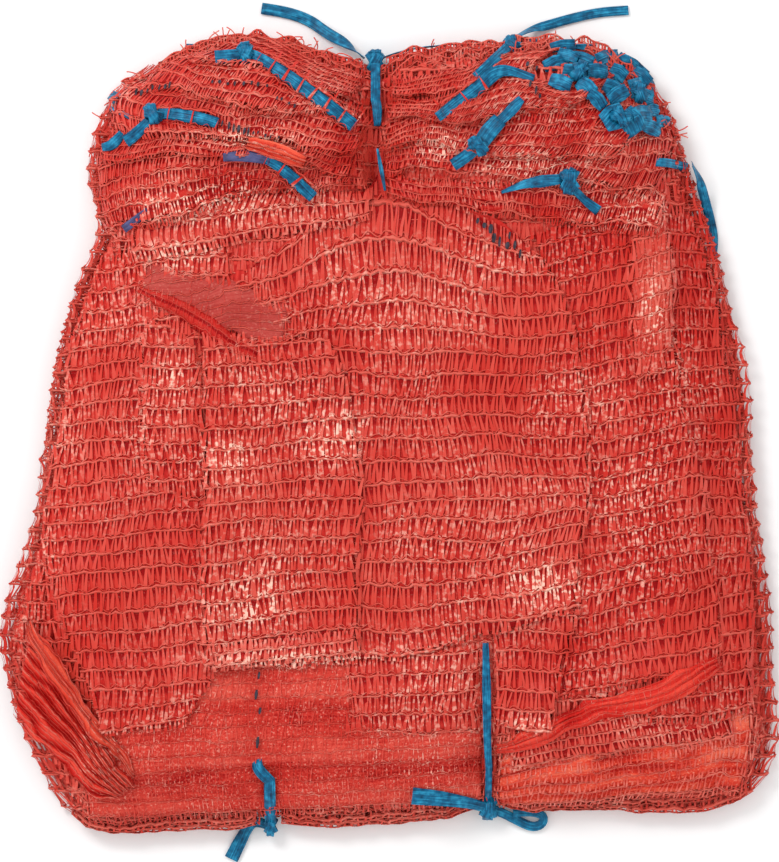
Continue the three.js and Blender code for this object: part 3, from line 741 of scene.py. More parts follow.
def laid_surface(
    left, right, seed, rise=0.0008, wrinkle=0.001, wave=(0.03, 0.03), crumple=0.0, bow=0.0, sag=0.0,
    pleats=(0, 0.0, 0.0), ragged=0.0012, slope=None, drawn=0.0, soft=0.0, step=CLOTH_STEP,
):
    """A creased sheet on the pile between two edges, from the foot up.

    Gives its points, their places in the flat cloth, and their painted shade and painted sheen. The rows go
    from edge to edge, or straight across the bundle at a slope, and may be drawn up to the top tie. A soft
    edge comes up gradually out of the net below it. Pleats have a count, a depth and how uneven they are.
    """
    edges = smooth_line(left, EDGE_SAMPLES), smooth_line(right, EDGE_SAMPLES)
    length = (line_length(edges[0]) + line_length(edges[1])) / 2 + (bow + sag) / 1000
    width = float(np.linalg.norm(edges[1] - edges[0], axis=1).max())
    rows = max(CLOTH_LEAST, int(length / step))
    columns = max(CLOTH_LEAST, int(width / CLOTH_STEP))
    share = np.linspace(0, 1, columns)[None, :, None]
    up, across = np.meshgrid(np.linspace(0, 1, rows), np.linspace(0, 1, columns), indexing="ij")
    plan = smooth_line(left, rows)[:, None, :] * (1 - share) + smooth_line(right, rows)[:, None, :] * share
    if slope is None:
        weave = np.stack([across * width, up * length], axis=-1)
    else:
        weave = woven_across(plan, slope, drawn)
    arch = 4 * across * (1 - across)
    bulge = bow * np.clip(2 * up - 1, 0, 1) ** 2 - sag * np.clip(1 - 2 * up, 0, 1) ** 2
    border = np.minimum(np.minimum(up, 1 - up) * length, np.minimum(across, 1 - across) * width)
    bulged = plan[..., 1] + arch * bulge / 1000
    x, y, folds = crumpled(plan[..., 0], bulged, border, seed, wave, crumple, ragged)
    lift = EDGE_LIFT + rise * np.sqrt(1 - (1 - np.clip(border / EDGE_ROUND, 0, 1)) ** 2)
    if soft:
        lift -= EDGE_SOFT * (1 - np.clip(border / soft, 0, 1)) ** 2
    creases = wrinkle * np.clip(folds + 0.3, 0, 2) * np.clip(border / EDGE_CALM, 0.25, 1)
    count, depth, uneven = pleats
    crest = np.full(x.shape, 0.5)
    if count:
        saw = (up * count + uneven * folds) % 1.0
        crest = np.where(saw < PLEAT_RISE, saw / PLEAT_RISE, (1 - saw) / PLEAT_FALL)
    z = np.maximum(height_at(x, y), CLOTH_LOWEST) + lift + creases + depth * crest
    shade = np.clip(folds, -1, 1) * wrinkle / SHADE_WRINKLE + (crest - 0.5) * 2 * depth / SHADE_PLEAT
    # Painted shade: the shade patches darken the cloth and net to a deep red.
    shade = np.clip(shade, -2, 2) - patches_at(SHADE_PATCHES, x, y)
    # The sheen patches are painted sheen, where the net catches the light.
    looks = {"shade": shade, "worn": patches_at(SHEEN_PATCHES, x, y)}
    return np.stack([x, y, z], axis=-1), weave, looks


def under_material(name, grain, slot_depth, crumbs, shades):
    """The cloth just under a net: streaks of the next bag's strands and painted shade in slots below the
    chains.

    grain is how often the streaks change along a metre of row and from row to row. crumbs is how much fine
    specks of dark and of pale glint break it up.
    """
    material, tree, shader = new_material(name)
    cloth = add_node(tree, "ShaderNodeUVMap", uv_map="cloth").outputs[0]
    place = add_node(tree, "ShaderNodeTexCoord").outputs["Object"]
    drawn = add_node(tree, "ShaderNodeMapping", {"Vector": cloth, "Scale": (*grain, 1.0)}).outputs[0]
    streak = noise_texture(tree, drawn, 1.0, 3.0)["Fac"]
    cloud = noise_texture(tree, place, UNDER_CLOUDS, 6.0)["Fac"]
    row = math_node(tree, "FRACT", add_node(tree, "ShaderNodeSeparateXYZ", {0: cloth}).outputs["Y"])
    slot = math_node(tree, "ABSOLUTE", math_node(tree, "SUBTRACT", row, SLOT_MIDDLE))
    slot = map_range(tree, slot, SLOT_HALF, 0.0)
    shade, worn = [kept_number(tree, label) for label in ("shade", "worn")]
    level = math_node(tree, "MULTIPLY_ADD", streak, 0.9, math_node(tree, "MULTIPLY_ADD", cloud, 0.6, -0.25))
    # Painted shade in the slot below each chain.
    level = math_node(tree, "MULTIPLY_ADD", slot, -slot_depth, level)
    # Painted shade of creases, pleats and shade patches darkens the cloth.
    level = math_node(tree, "ADD", level, math_node(tree, "MULTIPLY", shade, 0.25))
    # Painted sheen lightens the cloth in the sheen patches.
    level = math_node(tree, "MULTIPLY_ADD", worn, 0.3, level)
    crumb = noise_texture(tree, place, UNDER_CRUMBS, 3.0)["Fac"]
    level = math_node(tree, "MULTIPLY_ADD", math_node(tree, "SUBTRACT", crumb, 0.5), 2 * crumbs, level)
    colour = colour_ramp(tree, level, *zip((0.1, 0.45, 0.8), shades))
    colour = glinting(tree, colour, map_range(tree, crumb, 0.58, 0.72, 0.0, crumbs))
    roughness = math_node(tree, "MULTIPLY_ADD", streak, 0.3, 0.35)
    dress_shader(tree, shader, colour, level, UNDER_RELIEF, roughness, UNDER_GLOSS)
    return material


UNDER_MATERIAL = under_material("under_net", (650.0, 1.7), 0.6, 0.1, UNDER_SHADES)
FOLD_MATERIAL = under_material("pressed_fold", (60.0, 5.0), 0.0, 0.42, FOLD_SHADES)
FILM_MATERIAL = under_material("smooth_fold", (30.0, 9.0), 0.0, 0.16, FILM_SHADES)
BRIGHT_MATERIAL = under_material("bright_fold", (40.0, 7.0), 0.0, 0.08, BRIGHT_SHADES)
ORANGE_MATERIAL = under_material("orange_fold", (40.0, 7.0), 0.0, 0.08, ORANGE_SHADES)
FRESH_MATERIAL = under_material("fresh_fold", (60.0, 5.0), 0.0, 0.35, ORANGE_SHADES)
# In the lobes the slots are painted in deeper shade.
MOUTH_MATERIAL = under_material("under_mouth", (650.0, 1.7), 0.95, 0.15, UNDER_SHADES)


def closed_sheet(top, bottom, offset=0):
    """Points and faces of a closed sheet from the grids of its two sides."""
    rows, columns = top.shape[:2]
    upper = np.arange(rows * columns).reshape(rows, columns) + offset
    lower = upper + rows * columns

    def quads(*corners):
        """Faces from the grids of their four corners."""
        return np.stack([corner.ravel() for corner in corners], axis=-1)

    faces = np.concatenate([
        quads(upper[:-1, :-1], upper[:-1, 1:], upper[1:, 1:], upper[1:, :-1]),
        quads(lower[:-1, :-1], lower[1:, :-1], lower[1:, 1:], lower[:-1, 1:]),
        quads(upper[0, :-1], lower[0, :-1], lower[0, 1:], upper[0, 1:]),
        quads(upper[-1, 1:], lower[-1, 1:], lower[-1, :-1], upper[-1, :-1]),
        quads(upper[1:, 0], lower[1:, 0], lower[:-1, 0], upper[:-1, 0]),
        quads(upper[:-1, -1], lower[:-1, -1], lower[1:, -1], upper[1:, -1]),
    ])
    return np.concatenate([top.reshape(-1, 3), bottom.reshape(-1, 3)]), faces


def sheet_mesh(name, points, faces, cloth, material):
    """A smooth mesh with a map of its cloth."""
    mesh = bpy.data.meshes.new(name)
    mesh.from_pydata(points.tolist(), [], faces.tolist())
    layer = mesh.uv_layers.new(name="cloth")
    layer.data.foreach_set("uv", cloth[faces.reshape(-1)].astype(np.float32).ravel())
    mesh.polygons.foreach_set("use_smooth", np.ones(len(faces), dtype=bool))
    mesh.materials.append(material)
    return mesh


def every_other(count):
    """Every second index, a little inside both ends."""
    inset = 2 if count > CLOTH_SMALL else 1
    return np.unique(np.append(np.arange(inset, count - inset, 2), count - 1 - inset))


def lay_net(name, left, right, seed, full=1.0, tall=1.0, knit=None, material=UNDER_MATERIAL, **surface):
    """Lays a bag's cloth with its knit on the pile between two edges.

    full and tall are how much more cloth there is, across and along, than shows, because creases take it up.
    """
    points, weave, looks = laid_surface(left, right, seed, **surface)
    look = {"pitch": ROW_PITCH, **(knit or {})}
    weave = weave * np.array([full, tall])
    picked = np.ix_(every_other(points.shape[0]), every_other(points.shape[1]))
    top = points[picked] - np.array([0, 0, CLOTH_SUNK])
    inner_weave = weave[picked].reshape(-1, 2)
    streaks = inner_weave / np.array([1, look["pitch"]]) + np.array([seed * 0.1, -0.5])
    shape, faces = closed_sheet(top, top - np.array([0, 0, CLOTH_THICKNESS]))
    cloth = add_piece(name, sheet_mesh(name, shape, faces, np.tile(streaks, (2, 1)), material))
    set_looks(cloth.data, {label: np.tile(values[picked].ravel(), 2) for label, values in looks.items()})
    net_mesh = knit_mesh(name + "_knit", points, weave, seed, looks=looks, **look)
    net = add_piece(name + "_knit", net_mesh)
    raise_heights(points + np.array([0, 0, KNIT_HEIGHT]))
    return cloth


# The cover
# The uppermost whole bag of the pile lies over all of it, and its rows show wherever no loose part covers
# them. Under the middle of the loose layers it is hidden and left out.
COVER_STEP = 0.003
COVER_SIZE = (0.408, 0.423)
COVER_SEED = 1
COVER_PROUD = 0.0002
COVER_LOWEST = 0.006
HIDDEN_HALF = (0.12, 0.09)
HIDDEN_MIDDLE = -0.008
plan_x, plan_y = np.meshgrid(*(np.arange(-side / 2, side / 2 + 1e-6, COVER_STEP) for side in COVER_SIZE))
cover_z = height_at(plan_x, plan_y)
inner = cover_z.copy()
for _ in range(2):
    inner[1:-1, 1:-1] = np.minimum.reduce([inner[1:-1, 1:-1], *around(inner)])
cover_points = np.stack([plan_x, plan_y, cover_z + COVER_PROUD], axis=-1)
on_pile = inner > COVER_LOWEST
hidden = (np.abs(plan_x) < HIDDEN_HALF[0]) & (np.abs(plan_y - HIDDEN_MIDDLE) < HIDDEN_HALF[1])
cover_weave = flat_weave(cover_points, COVER_SIZE)
cover_mesh = knit_mesh("cover", cover_points, cover_weave, COVER_SEED, keep=on_pile & ~hidden)
add_piece("cover", cover_mesh)
raise_heights(cover_points[on_pile] + np.array([0, 0, KNIT_HEIGHT]))

# The underside
# The lowest bag of the pile lies flat on the table and shows the same knit. Hardly any of it can be seen,
# so its strands are fewer and broader.
LOWEST_LEVEL = 0.0012
LOWEST_EDGE = 0.010
LOWEST_SEED = 2
LOWEST_KNIT = {"spacing": 0.0036, "strand": 1.5}
base_points = np.stack([plan_x, plan_y[::-1], np.full(plan_x.shape, LOWEST_LEVEL)], axis=-1)
on_table = inner[::-1] > LOWEST_EDGE
lowest_mesh = knit_mesh("lowest_bag", base_points, cover_weave, LOWEST_SEED, keep=on_table, **LOWEST_KNIT)
add_piece("lowest_bag", lowest_mesh)

# The folded edges of the bags
# Every bag is a flat tube, so its sides are folds. They lie on each other unevenly round the pile, and where
# one stands out, the ends of its rows show as small steps with open loops between them.
FOLD_DEPTH = 0.014
FOLD_RADIUS = 0.0007
FOLD_UPPER = 7
FOLD_TURNS = 6
FOLD_UNDER = (0.0025, 0.005)
FOLD_STEPS = 400
FOLD_SMOOTH = 7
FOLD_LOOSE = 16
FOLD_RAGS = 110
FOLD_SWAY = 0.0004
FOLD_SWAYS = 40
# A fold is only where the pile's side stands at its height, not further in behind a low corner.
FOLD_NEAREST = 0.12
TICK = 0.0016
TICK_SHARPNESS = 8
SIDE_KNIT = {"wander": 0.0006, "strand": 0.6, "spacing": 0.0032, "tone": -0.1}
FOOT_KNIT = {"pitch": 0.0034, "spacing": 0.0032, "chain": 0.75, "strand": 0.8, "wander": 0.002, "tone": 0.05}
LIP_KNIT = {"pitch": 0.0045, "spacing": 0.0019, "chain": 0.75, "strand": 0.6, "wander": 0.003, "tone": -0.05}
# For each side of the pile: the way out, how ragged the folds are, and their knit.
FOLD_SIDES = {
    "left": ((-1, 0, 0), 0.001, SIDE_KNIT),
    "right": ((1, 0, 0), 0.001, SIDE_KNIT),
    "foot": ((0, -1, 0), 0.0015, FOOT_KNIT),
    "mouth": ((0, 1, 0), 0.005, LIP_KNIT),
}
FOOT_LEVELS = (3, 5, 7, 9, 11, 13, 16, 20, 24)
FOOT_REACH = (-0.001, 0.003)
MOUTH_LEVELS = (3, 6, 9, 12, 15, 18, 22)
MOUTH_REACH = (-0.004, 0.0075)
TIED_LEVELS = (3, 5, 7, 9, 11)
TIED_REACH = (-0.003, 0.001)
# For each stretch: heights of its folds in millimetres, where it runs, and how far in and out its folds lie.
FOLDS = {
    "left": ((3, 5.5, 8, 10.5, 13, 16, 19, 23, 27), (-0.2, 0.195), (-0.006, 0.0105)),
    "right": ((3, 5, 7, 9, 11, 13, 16, 19, 23, 27, 31), (-0.192, 0.19), (-0.003, 0.0065)),
    "foot_left": (FOOT_LEVELS, (-0.165, -0.0665), FOOT_REACH),
    "foot_middle": (FOOT_LEVELS, (-0.0555, 0.048), FOOT_REACH),
    "foot_right": (FOOT_LEVELS, (0.058, 0.191), FOOT_REACH),
    "mouth_left": (MOUTH_LEVELS, (-0.12, -0.0115), MOUTH_REACH),
    "mouth_right": (MOUTH_LEVELS, (-0.0005, 0.13), MOUTH_REACH),
    "mouth_middle": ((3, 6, 9, 12, 15), (-0.0135, 0.0015), (-0.001, 0.002)),
    "foot_left_tie": (TIED_LEVELS, (-0.0675, -0.0545), TIED_REACH),
    "foot_right_tie": (TIED_LEVELS, (0.047, 0.059), TIED_REACH),
}


def fold_section():
    """A fold seen from its end: in along the upper layer, round the edge and a little back underneath."""
    upper = [(depth, 0.0) for depth in np.linspace(FOLD_DEPTH, FOLD_RADIUS, FOLD_UPPER)]
    turns = [math.pi * (0.5 - k / FOLD_TURNS) for k in range(1, FOLD_TURNS + 1)]
    edge = [(FOLD_RADIUS * (1 - math.cos(turn)), FOLD_RADIUS * (math.sin(turn) - 1)) for turn in turns]
    under = [(depth, -2 * FOLD_RADIUS) for depth in FOLD_UNDER]
    return np.array(upper + edge + under)


def fold_points(side, level, span, reach, seed):
    """A folded edge along one side of the pile at one height, as a grid of points, and its flat size."""
    way, ragged, _ = FOLD_SIDES[side]
    out = Vector(way)
    lengthwise = side in ("left", "right")
    edge = []
    for k in range(FOLD_STEPS):
        place = span[0] + (span[1] - span[0]) * k / (FOLD_STEPS - 1)
        spot = Vector((0, place, level)) if lengthwise else Vector((place, 0, level))
        hit = pile_tree.ray_cast(spot + out * CLEAR, -out)[0]
        if hit is None or hit.dot(out) < FOLD_NEAREST:
            continue
        loose = np.clip(0.5 + 0.75 * noise.noise(Vector((place * FOLD_LOOSE, seed * 3.7, 0))), 0, 1)
        rag = ragged * noise.noise(Vector((place * FOLD_RAGS, seed * 1.9, 5)))
        edge.append(hit + out * (reach[0] + reach[1] * loose + rag))
    line = np.array(edge)
    half = FOLD_SMOOTH // 2
    windows = [line[k:len(line) - 2 * half + k] for k in range(FOLD_SMOOTH)]
    line[half:-half] = sum(windows) / FOLD_SMOOTH
    length = line_length(line)
    if lengthwise:
        row = np.cos(2 * math.pi * (np.linspace(0, length, len(line)) / ROW_PITCH - 0.5))
        line += np.clip(row, 0, 1)[:, None] ** TICK_SHARPNESS * TICK * np.array(out)
    section = fold_section()
    if side in ("left", "foot"):
        section = section[::-1]
    grid = line[:, None, :] - section[None, :, :1] * np.array(out)
    sway = FOLD_SWAY * np.sin(np.linspace(0, FOLD_SWAYS, len(line)) + seed)
    grid[..., 2] += section[None, :, 1] + sway[:, None]
    depth = line_length(section)
    if lengthwise:
        return grid, (depth, length)
    return grid.transpose(1, 0, 2), (length, depth)


fold_seed = 20
for stretch, (levels, span, reach) in FOLDS.items():
    side = stretch.split("_")[0]
    meshes = []
    for level in levels:
        fold_seed += 1
        grid, cut = fold_points(side, level / 1000, span, reach, fold_seed)
        weave = flat_weave(grid, cut)
        meshes.append(knit_mesh(f"{stretch}_folds", grid, weave, fold_seed, **FOLD_SIDES[side][2]))
    add_piece(f"{stretch}_folds", join_meshes(meshes))

# The pressed layers
# At the foot, and where bags are folded across themselves, many layers are pressed so close that the knit
# looks like creased film: fine lines along the rows, few holes, and folds that overlap like shingles.
PRESSED = {"pitch": 0.0075, "chain": 0.3, "strand": 0.4, "spacing": 0.0026, "wander": 0.006, "tone": -0.1}
PLEATED = {"pitch": 0.0045, "chain": 0.4, "strand": 0.25, "spacing": 0.014, "wander": 0.003}
SMOOTHED = {**PRESSED, "chain": 0.2, "strand": 0.2}
lay_net(
    "pressed_foot", seed=31, wave=(0.12, 0.02), wrinkle=0.0008, pleats=(-3, 0.0016, 0.3), knit=PRESSED,
    material=FOLD_MATERIAL,
    left=[(-157, -204), (-162, -170), (-152, -118)],
    right=[(53, -194), (53, -165), (53, -112)],
)
lay_net(
    "foot_rows", seed=36, slope=0.03, rise=0.0002, crumple=0.003, ragged=0.004, soft=0.022,
    knit={"chain": 0.8},
    left=[(-24, -158), (-24, -110)],
    right=[(51, -158), (51, -102)],
)
lay_net(
    "pressed_right_foot", seed=32, wave=(0.05, 0.012), wrinkle=0.0018, crumple=0.005,
    pleats=(-8, 0.0026, 0.5), knit={**PRESSED, "pitch": 0.006, "chain": 0.42, "strand": 0.6, "tone": 0.28},
    material=FRESH_MATERIAL,
    left=[(56, -195), (55, -178), (57, -156)],
    right=[(186, -190), (195, -168), (186, -116)],
)
lay_net(
    "right_foot_rows", seed=37, rise=0.0003, crumple=0.004, ragged=0.003, soft=0.007,
    knit={"pitch": 0.0062, "chain": 0.65, "strand": 0.8, "tone": 0.15},
    left=[(64, -174), (62, -158)],
    right=[(184, -158), (174, -119)],
)

# The fan at the lower left
# There the sides of several bags are drawn together into pleats that run from the outline down to the foot.
# The innermost pleat stands highest.
lay_net(
    "left_fan", seed=40, tall=1.9, rise=0.0012, wrinkle=0.0016, wave=(0.035, 0.03), crumple=0.004,
    pleats=(7, 0.0034, 1.0), sag=10, ragged=0.004, soft=0.006, step=0.0005, knit=PLEATED,
    material=BRIGHT_MATERIAL,
    left=[(-192, -146), (-192, -126), (-188, -108), (-183, -96)],
    right=[(-141, -188), (-138, -187), (-134, -185), (-130, -183)],
)
lay_net(
    "fan_ridge", seed=42, tall=1.6, rise=0.0016, wrinkle=0.0012, crumple=0.006, pleats=(3, 0.0014, 0.8),
    bow=6, sag=8, ragged=0.004, soft=0.006, step=0.0007, knit=PLEATED, material=ORANGE_MATERIAL,
    left=[(-189, -102), (-187, -99)],
    right=[(-132, -180), (-131, -178)],
)

# The layers that lie loose on the pile
# They are parts of the upper bags, shifted and folded over each other. Each lies between two edges, in
# millimetres, from its foot up.
lay_net(
    "right_lower_layer", seed=101, slope=0.05, wrinkle=0.0012, crumple=0.003, knit={"tone": -0.25},
    left=[(131, -150), (131, -86), (126, -8), (121, 70), (111, 111)],
    right=[(190, -147), (192, -107), (188, -45), (183, 18), (175, 70), (162, 116)],
)
lay_net(
    "left_layer", seed=102, slope=0.1, wrinkle=0.0009, crumple=0.004, wave=(0.05, 0.05),
    knit={"tone": -0.05},
    left=[
        (-146, -157), (-162, -115), (-180, -66), (-178, -34), (-174, 2), (-169, 28), (-165, 59), (-150, 93),
    ],
    right=[(-104, -153), (-88, -125), (-80, -86), (-80, -34), (-80, 7), (-80, 54), (-80, 100)],
)
lay_net(
    "left_pouch", seed=103, slope=0.06, rise=0.0003, wrinkle=0.0012, crumple=0.003, ragged=0.002, soft=0.008,
    left=[(-127, -30), (-129, 7), (-131, 44), (-126, 62)],
    right=[(-90, -38), (-90, 0), (-92, 26), (-100, 50)],
)
# The right layer's knit is toned darker: a deeper red, and painted shade beside the raised centre bag.
lay_net(
    "right_layer", seed=104, slope=0.22, wrinkle=0.0012, crumple=0.004, wave=(0.05, 0.05), ragged=0.003,
    knit={"tone": -0.16},
    left=[(76, -145), (92, -86), (97, -34), (97, 18), (90, 70), (70, 106)],
    right=[(170, -122), (174, -100), (172, -66), (168, -30), (160, -8), (152, 23), (146, 70), (146, 122)],
)
lay_net(
    "right_ridge", seed=105, slope=0.3, rise=0.0007, wrinkle=0.0018, crumple=0.004, ragged=0.003, soft=0.01,
    knit={"tone": 0.1, "chain": 0.7}, material=FOLD_MATERIAL,
    left=[(130, 26), (121, 58), (121, 92), (132, 118)],
    right=[(143, 28), (152, 58), (150, 88), (143, 116)],
)
lay_net(
    "right_foot_fold", seed=34, tall=1.2, rise=0.0004, wave=(0.06, 0.02), wrinkle=0.0014, crumple=0.006,
    pleats=(4, 0.0015, 0.6), bow=5, sag=8, ragged=0.004, soft=0.008, step=0.0007, knit=SMOOTHED,
    material=BRIGHT_MATERIAL,
    left=[(55, -164), (56, -160)],
    right=[(174, -123), (172, -114)],
)
hanging_corner = lay_net(
    "hanging_corner", seed=115, slope=0.0, rise=0.0012, crumple=0.003,
    left=[(56, -151), (54, -133), (54, -107), (54, -84)],
    right=[(84, -157), (88, -138), (96, -110), (99, -88)],
)
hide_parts("corner_flap")
centre_bag = lay_net(
    "centre_bag", seed=113, slope=0.04, drawn=0.028, rise=0.001, wrinkle=0.0012, bow=22, sag=10,
    crumple=0.005, wave=(0.06, 0.05),
    left=[(-92, -121), (-92, -65), (-91, -8), (-92, 44), (-88, 70), (-66, 93), (-30, 110), (-7, 122)],
    right=[(100, -91), (105, -55), (107, -8), (102, 33), (92, 70), (79, 98), (48, 116), (5, 122)],
)
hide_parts("top_bag")
lay_net(
    "folded_strip", seed=114, slope=0.09, rise=0.001, wrinkle=0.0012, crumple=0.004, knit={"tone": 0.06},
    left=[(-95, -122), (-96, -65), (-95, -8), (-97, 33), (-97, 54)],
    right=[(-14, -113), (-13, -65), (-13, -8), (-20, 28), (-30, 48)],
)
# The hem's knit is toned lighter: a paler hem, and painted sheen where it catches the light.
lay_net(
    "strip_hem", seed=119, tall=1.2, rise=0.0004, crumple=0.003, knit={"tone": 0.2, "pitch": 0.007},
    left=[(-92, -123), (-93, -109)],
    right=[(-15, -114), (-14, -100)],
)
lay_net(
    "slanting_fold", seed=35, slope=0.03, rise=0.0002, wave=(0.05, 0.012), wrinkle=0.0008, crumple=0.005,
    bow=5, sag=3, ragged=0.006, soft=0.023,
    knit={**PRESSED, "pitch": 0.0044, "chain": 0.3, "strand": 0.15, "spacing": 0.008},
    material=FILM_MATERIAL,
    left=[(-131, 66), (-127, 93)],
    right=[(-54, 44), (-44, 68)],
)
lay_net(
    "slanting_edge", seed=38, rise=0.0002, wrinkle=0.001, crumple=0.006, bow=5, sag=7, ragged=0.004,
    soft=0.016, knit=SMOOTHED,
    left=[(-134, 73), (-132, 78)],
    right=[(-66, 36), (-64, 41)],
)
lay_net(
    "left_mouth_flap", seed=117, rise=0.0012, wrinkle=0.0018, crumple=0.003, knit={"tone": 0.15},
    left=[(-131, 88), (-136, 105), (-124, 120)],
    right=[(-6, 112), (-6, 120), (-7, 127)],
)

# The mouths
# At the top the mouths of the bags are crumpled into two lobes beside the top tie, one fan of cloth over the
# other, with their rows running to the tie.
MOUTH_SEED = 130
MOUTH_KNIT = {"pitch": 0.0064, "chain": 0.65, "strand": 0.62, "spacing": 0.0017, "wander": 0.008}
MOUTHS = {
    "right_mouth_1": ([(0, 126), (-1, 137)], [(142, 100), (146, 127)]),
    "left_mouth_1": ([(-148, 104), (-152, 119), (-150, 142)], [(-8, 128), (-8, 138), (-8, 147)]),
    "right_mouth_2": ([(-2, 135), (-3, 148)], [(139, 125), (152, 147), (148, 163)]),
    "left_mouth_2": ([(-147, 138), (-149, 148), (-142, 161)], [(-24, 136), (-13, 147), (-9, 154)]),
    "right_mouth_3": ([(-3, 147), (-3, 161)], [(111, 139), (140, 167), (138, 181)]),
    "left_mouth_3": ([(-141, 156), (-144, 173), (-134, 185)], [(-18, 146), (-11, 157), (-9, 163)]),
    "right_mouth_4": ([(-3, 160), (-2, 176)], [(90, 162), (120, 186), (130, 192)]),
    "left_mouth_4": ([(-134, 180), (-122, 192), (-105, 201)], [(-15, 157), (-10, 166), (-9, 174)]),
    "right_mouth_5": ([(-1, 175), (0, 188)], [(80, 186), (90, 199), (114, 203)]),
    "left_mouth_5": ([(-108, 196), (-84, 206), (-54, 205)], [(-11, 170), (-10, 179), (-11, 187)]),
}
for k, (name, (left, right)) in enumerate(MOUTHS.items()):
    lay_net(
        name, left, right, seed=MOUTH_SEED + k, full=1.15, tall=1.15, rise=0.002, wrinkle=0.0032,
        wave=(0.014, 0.010), crumple=0.008, ragged=0.003, knit=MOUTH_KNIT, material=MOUTH_MATERIAL,
    )
lay_net(
    "mouth_fold", seed=39, tall=1.2, rise=0.0010, wrinkle=0.0016, crumple=0.004, pleats=(4, 0.0019, 0.4),
    bow=6, sag=3, soft=0.003, step=0.0006, knit=PLEATED, material=ORANGE_MATERIAL,
    left=[(-76, 148), (-75, 152)],
    right=[(-39, 136), (-37, 140)],
)

# The drawstrings
# Drawstrings and ties are flat blue polyethylene tape, 5 to 7 mm wide and creased lengthwise. A drawstring
# runs through the loops of a hem, which cross it as threads between two chains, and most are knotted.
UP = np.array([0.0, 0.0, 1.0])
FILM = 0.0003
FILM_SAMPLES = 7
TAPE_CROWN = 0.05
TAPE_CREASE = 0.0003
CREASE_ACROSS = 1.6
CREASE_ALONG = 0.007
CREASE_DRAW = 3.3
TAPE_STREAKS = (1500.0, 60.0, 1.0)
TAPE_SCUFFS_AND_SHEEN = 260.0
TAPE_RELIEF = (0.8, 0.0009)
TAPE_GLOSS = 0.2
# Each tape finish runs from painted shade through the tape's colour to painted sheen.
TAPE_SHADES = ((0.001, 0.030, 0.080, 1.0), (0.002, 0.130, 0.265, 1.0), (0.030, 0.360, 0.600, 1.0))
DIM_SHADES = ((0.040, 0.025, 0.060, 1.0), (0.065, 0.070, 0.180, 1.0), (0.110, 0.110, 0.240, 1.0))
# The tapes seen through slots are coloured in painted shade, far darker than the blue.
SLOT_SHADES = ((0.014, 0.008, 0.012, 1.0), (0.040, 0.030, 0.042, 1.0), (0.090, 0.075, 0.110, 1.0))
LINE_STEP = 0.0015
LINE_SAMPLES = 60
LINE_LEAST = 8
LINE_SMOOTH = 3
KNOT_POINTS = 26
KNOT_ROUND = 1.04
KNOT_START = 0.3
KNOT_DENTS = 0.16
KNOT_WIDTH = 1.05
KNOT_CREASE = 0.0007
KNOT_LIFT = 0.8
# The tilt and the size of each wrap of a knot.
KNOT_WRAPS = ((-0.6, 0.94), (0.5, 1.0), (0.05, 1.07))
HEM_WIDTH = 9.0
HEM_SAMPLES = 17
HEM_LIFT = 0.5
HEM_RISE = 0.0012
HEM_DIP = -0.001
HEM_KNIT = {
    "pitch": HEM_WIDTH / 1000 * 0.98, "spacing": 0.0072, "wander": 0.0, "chain": 0.6, "strand": 0.8,
    "tone": -0.3,
}


def tape_material(name, shades):
    """Glossy blue film with streaks, creases and scuffs, blended from painted shade to painted sheen."""
    material, tree, shader = new_material(name)
    cloth = add_node(tree, "ShaderNodeUVMap", uv_map="cloth").outputs[0]
    drawn = add_node(tree, "ShaderNodeMapping", {"Vector": cloth, "Scale": TAPE_STREAKS}).outputs[0]
    streak = noise_texture(tree, drawn, 1.0, 3.0)["Fac"]
    place = add_node(tree, "ShaderNodeTexCoord").outputs["Object"]
    scuff_and_sheen = noise_texture(tree, place, TAPE_SCUFFS_AND_SHEEN, 3.0)["Fac"]
    level = math_node(tree, "MULTIPLY_ADD", scuff_and_sheen, 0.7, math_node(tree, "MULTIPLY_ADD", streak, 0.7, -0.2))
    colour = colour_ramp(tree, level, *zip((0.29, 0.5, 0.74), shades))
    roughness = math_node(tree, "MULTIPLY_ADD", scuff_and_sheen, 0.3, 0.2)
    dress_shader(tree, shader, colour, level, TAPE_RELIEF, roughness, TAPE_GLOSS)
    return material


TAPE_MATERIAL = tape_material("blue_tape", TAPE_SHADES)
DIM_MATERIAL = tape_material("covered_tape", DIM_SHADES)
SLOT_MATERIAL = tape_material("slotted_tape", SLOT_SHADES)


def strip_shape(spine, ups, widths, seed, crown=TAPE_CROWN, crease=TAPE_CREASE):
    """A creased strip of film along a spine, its top towards ups: both sides as grids, and its map."""
    tangents = unit(np.gradient(spine, axis=0))
    sides = unit(np.cross(tangents, ups))
    faces_up = unit(np.cross(sides, tangents))
    across = np.linspace(-1, 1, FILM_SAMPLES)
    reach = reach_along(spine)
    widths = np.broadcast_to(widths, (len(spine),))
    rise = np.empty((len(spine), FILM_SAMPLES))
    for i, j in np.ndindex(rise.shape):
        spot = Vector((across[j] * CREASE_ACROSS, reach[i] / CREASE_ALONG, seed * CREASE_DRAW))
        rise[i, j] = crown * widths[i] * (1 - across[j] ** 2) + crease * (noise.noise(spot) + 0.3)
    middle = spine[:, None, :] + sides[:, None, :] * (across[None, :] * widths[:, None] / 2)[..., None]
    top = middle + faces_up[:, None, :] * (rise + FILM)[..., None]
    bottom = middle + faces_up[:, None, :] * rise[..., None]
    lengths = np.repeat(reach[:, None], FILM_SAMPLES, axis=1)
    cloth = np.stack([(across[None, :] + 1) * widths[:, None] / 2, lengths], axis=-1)
    return top, bottom, cloth.reshape(-1, 2) + seed * 0.1


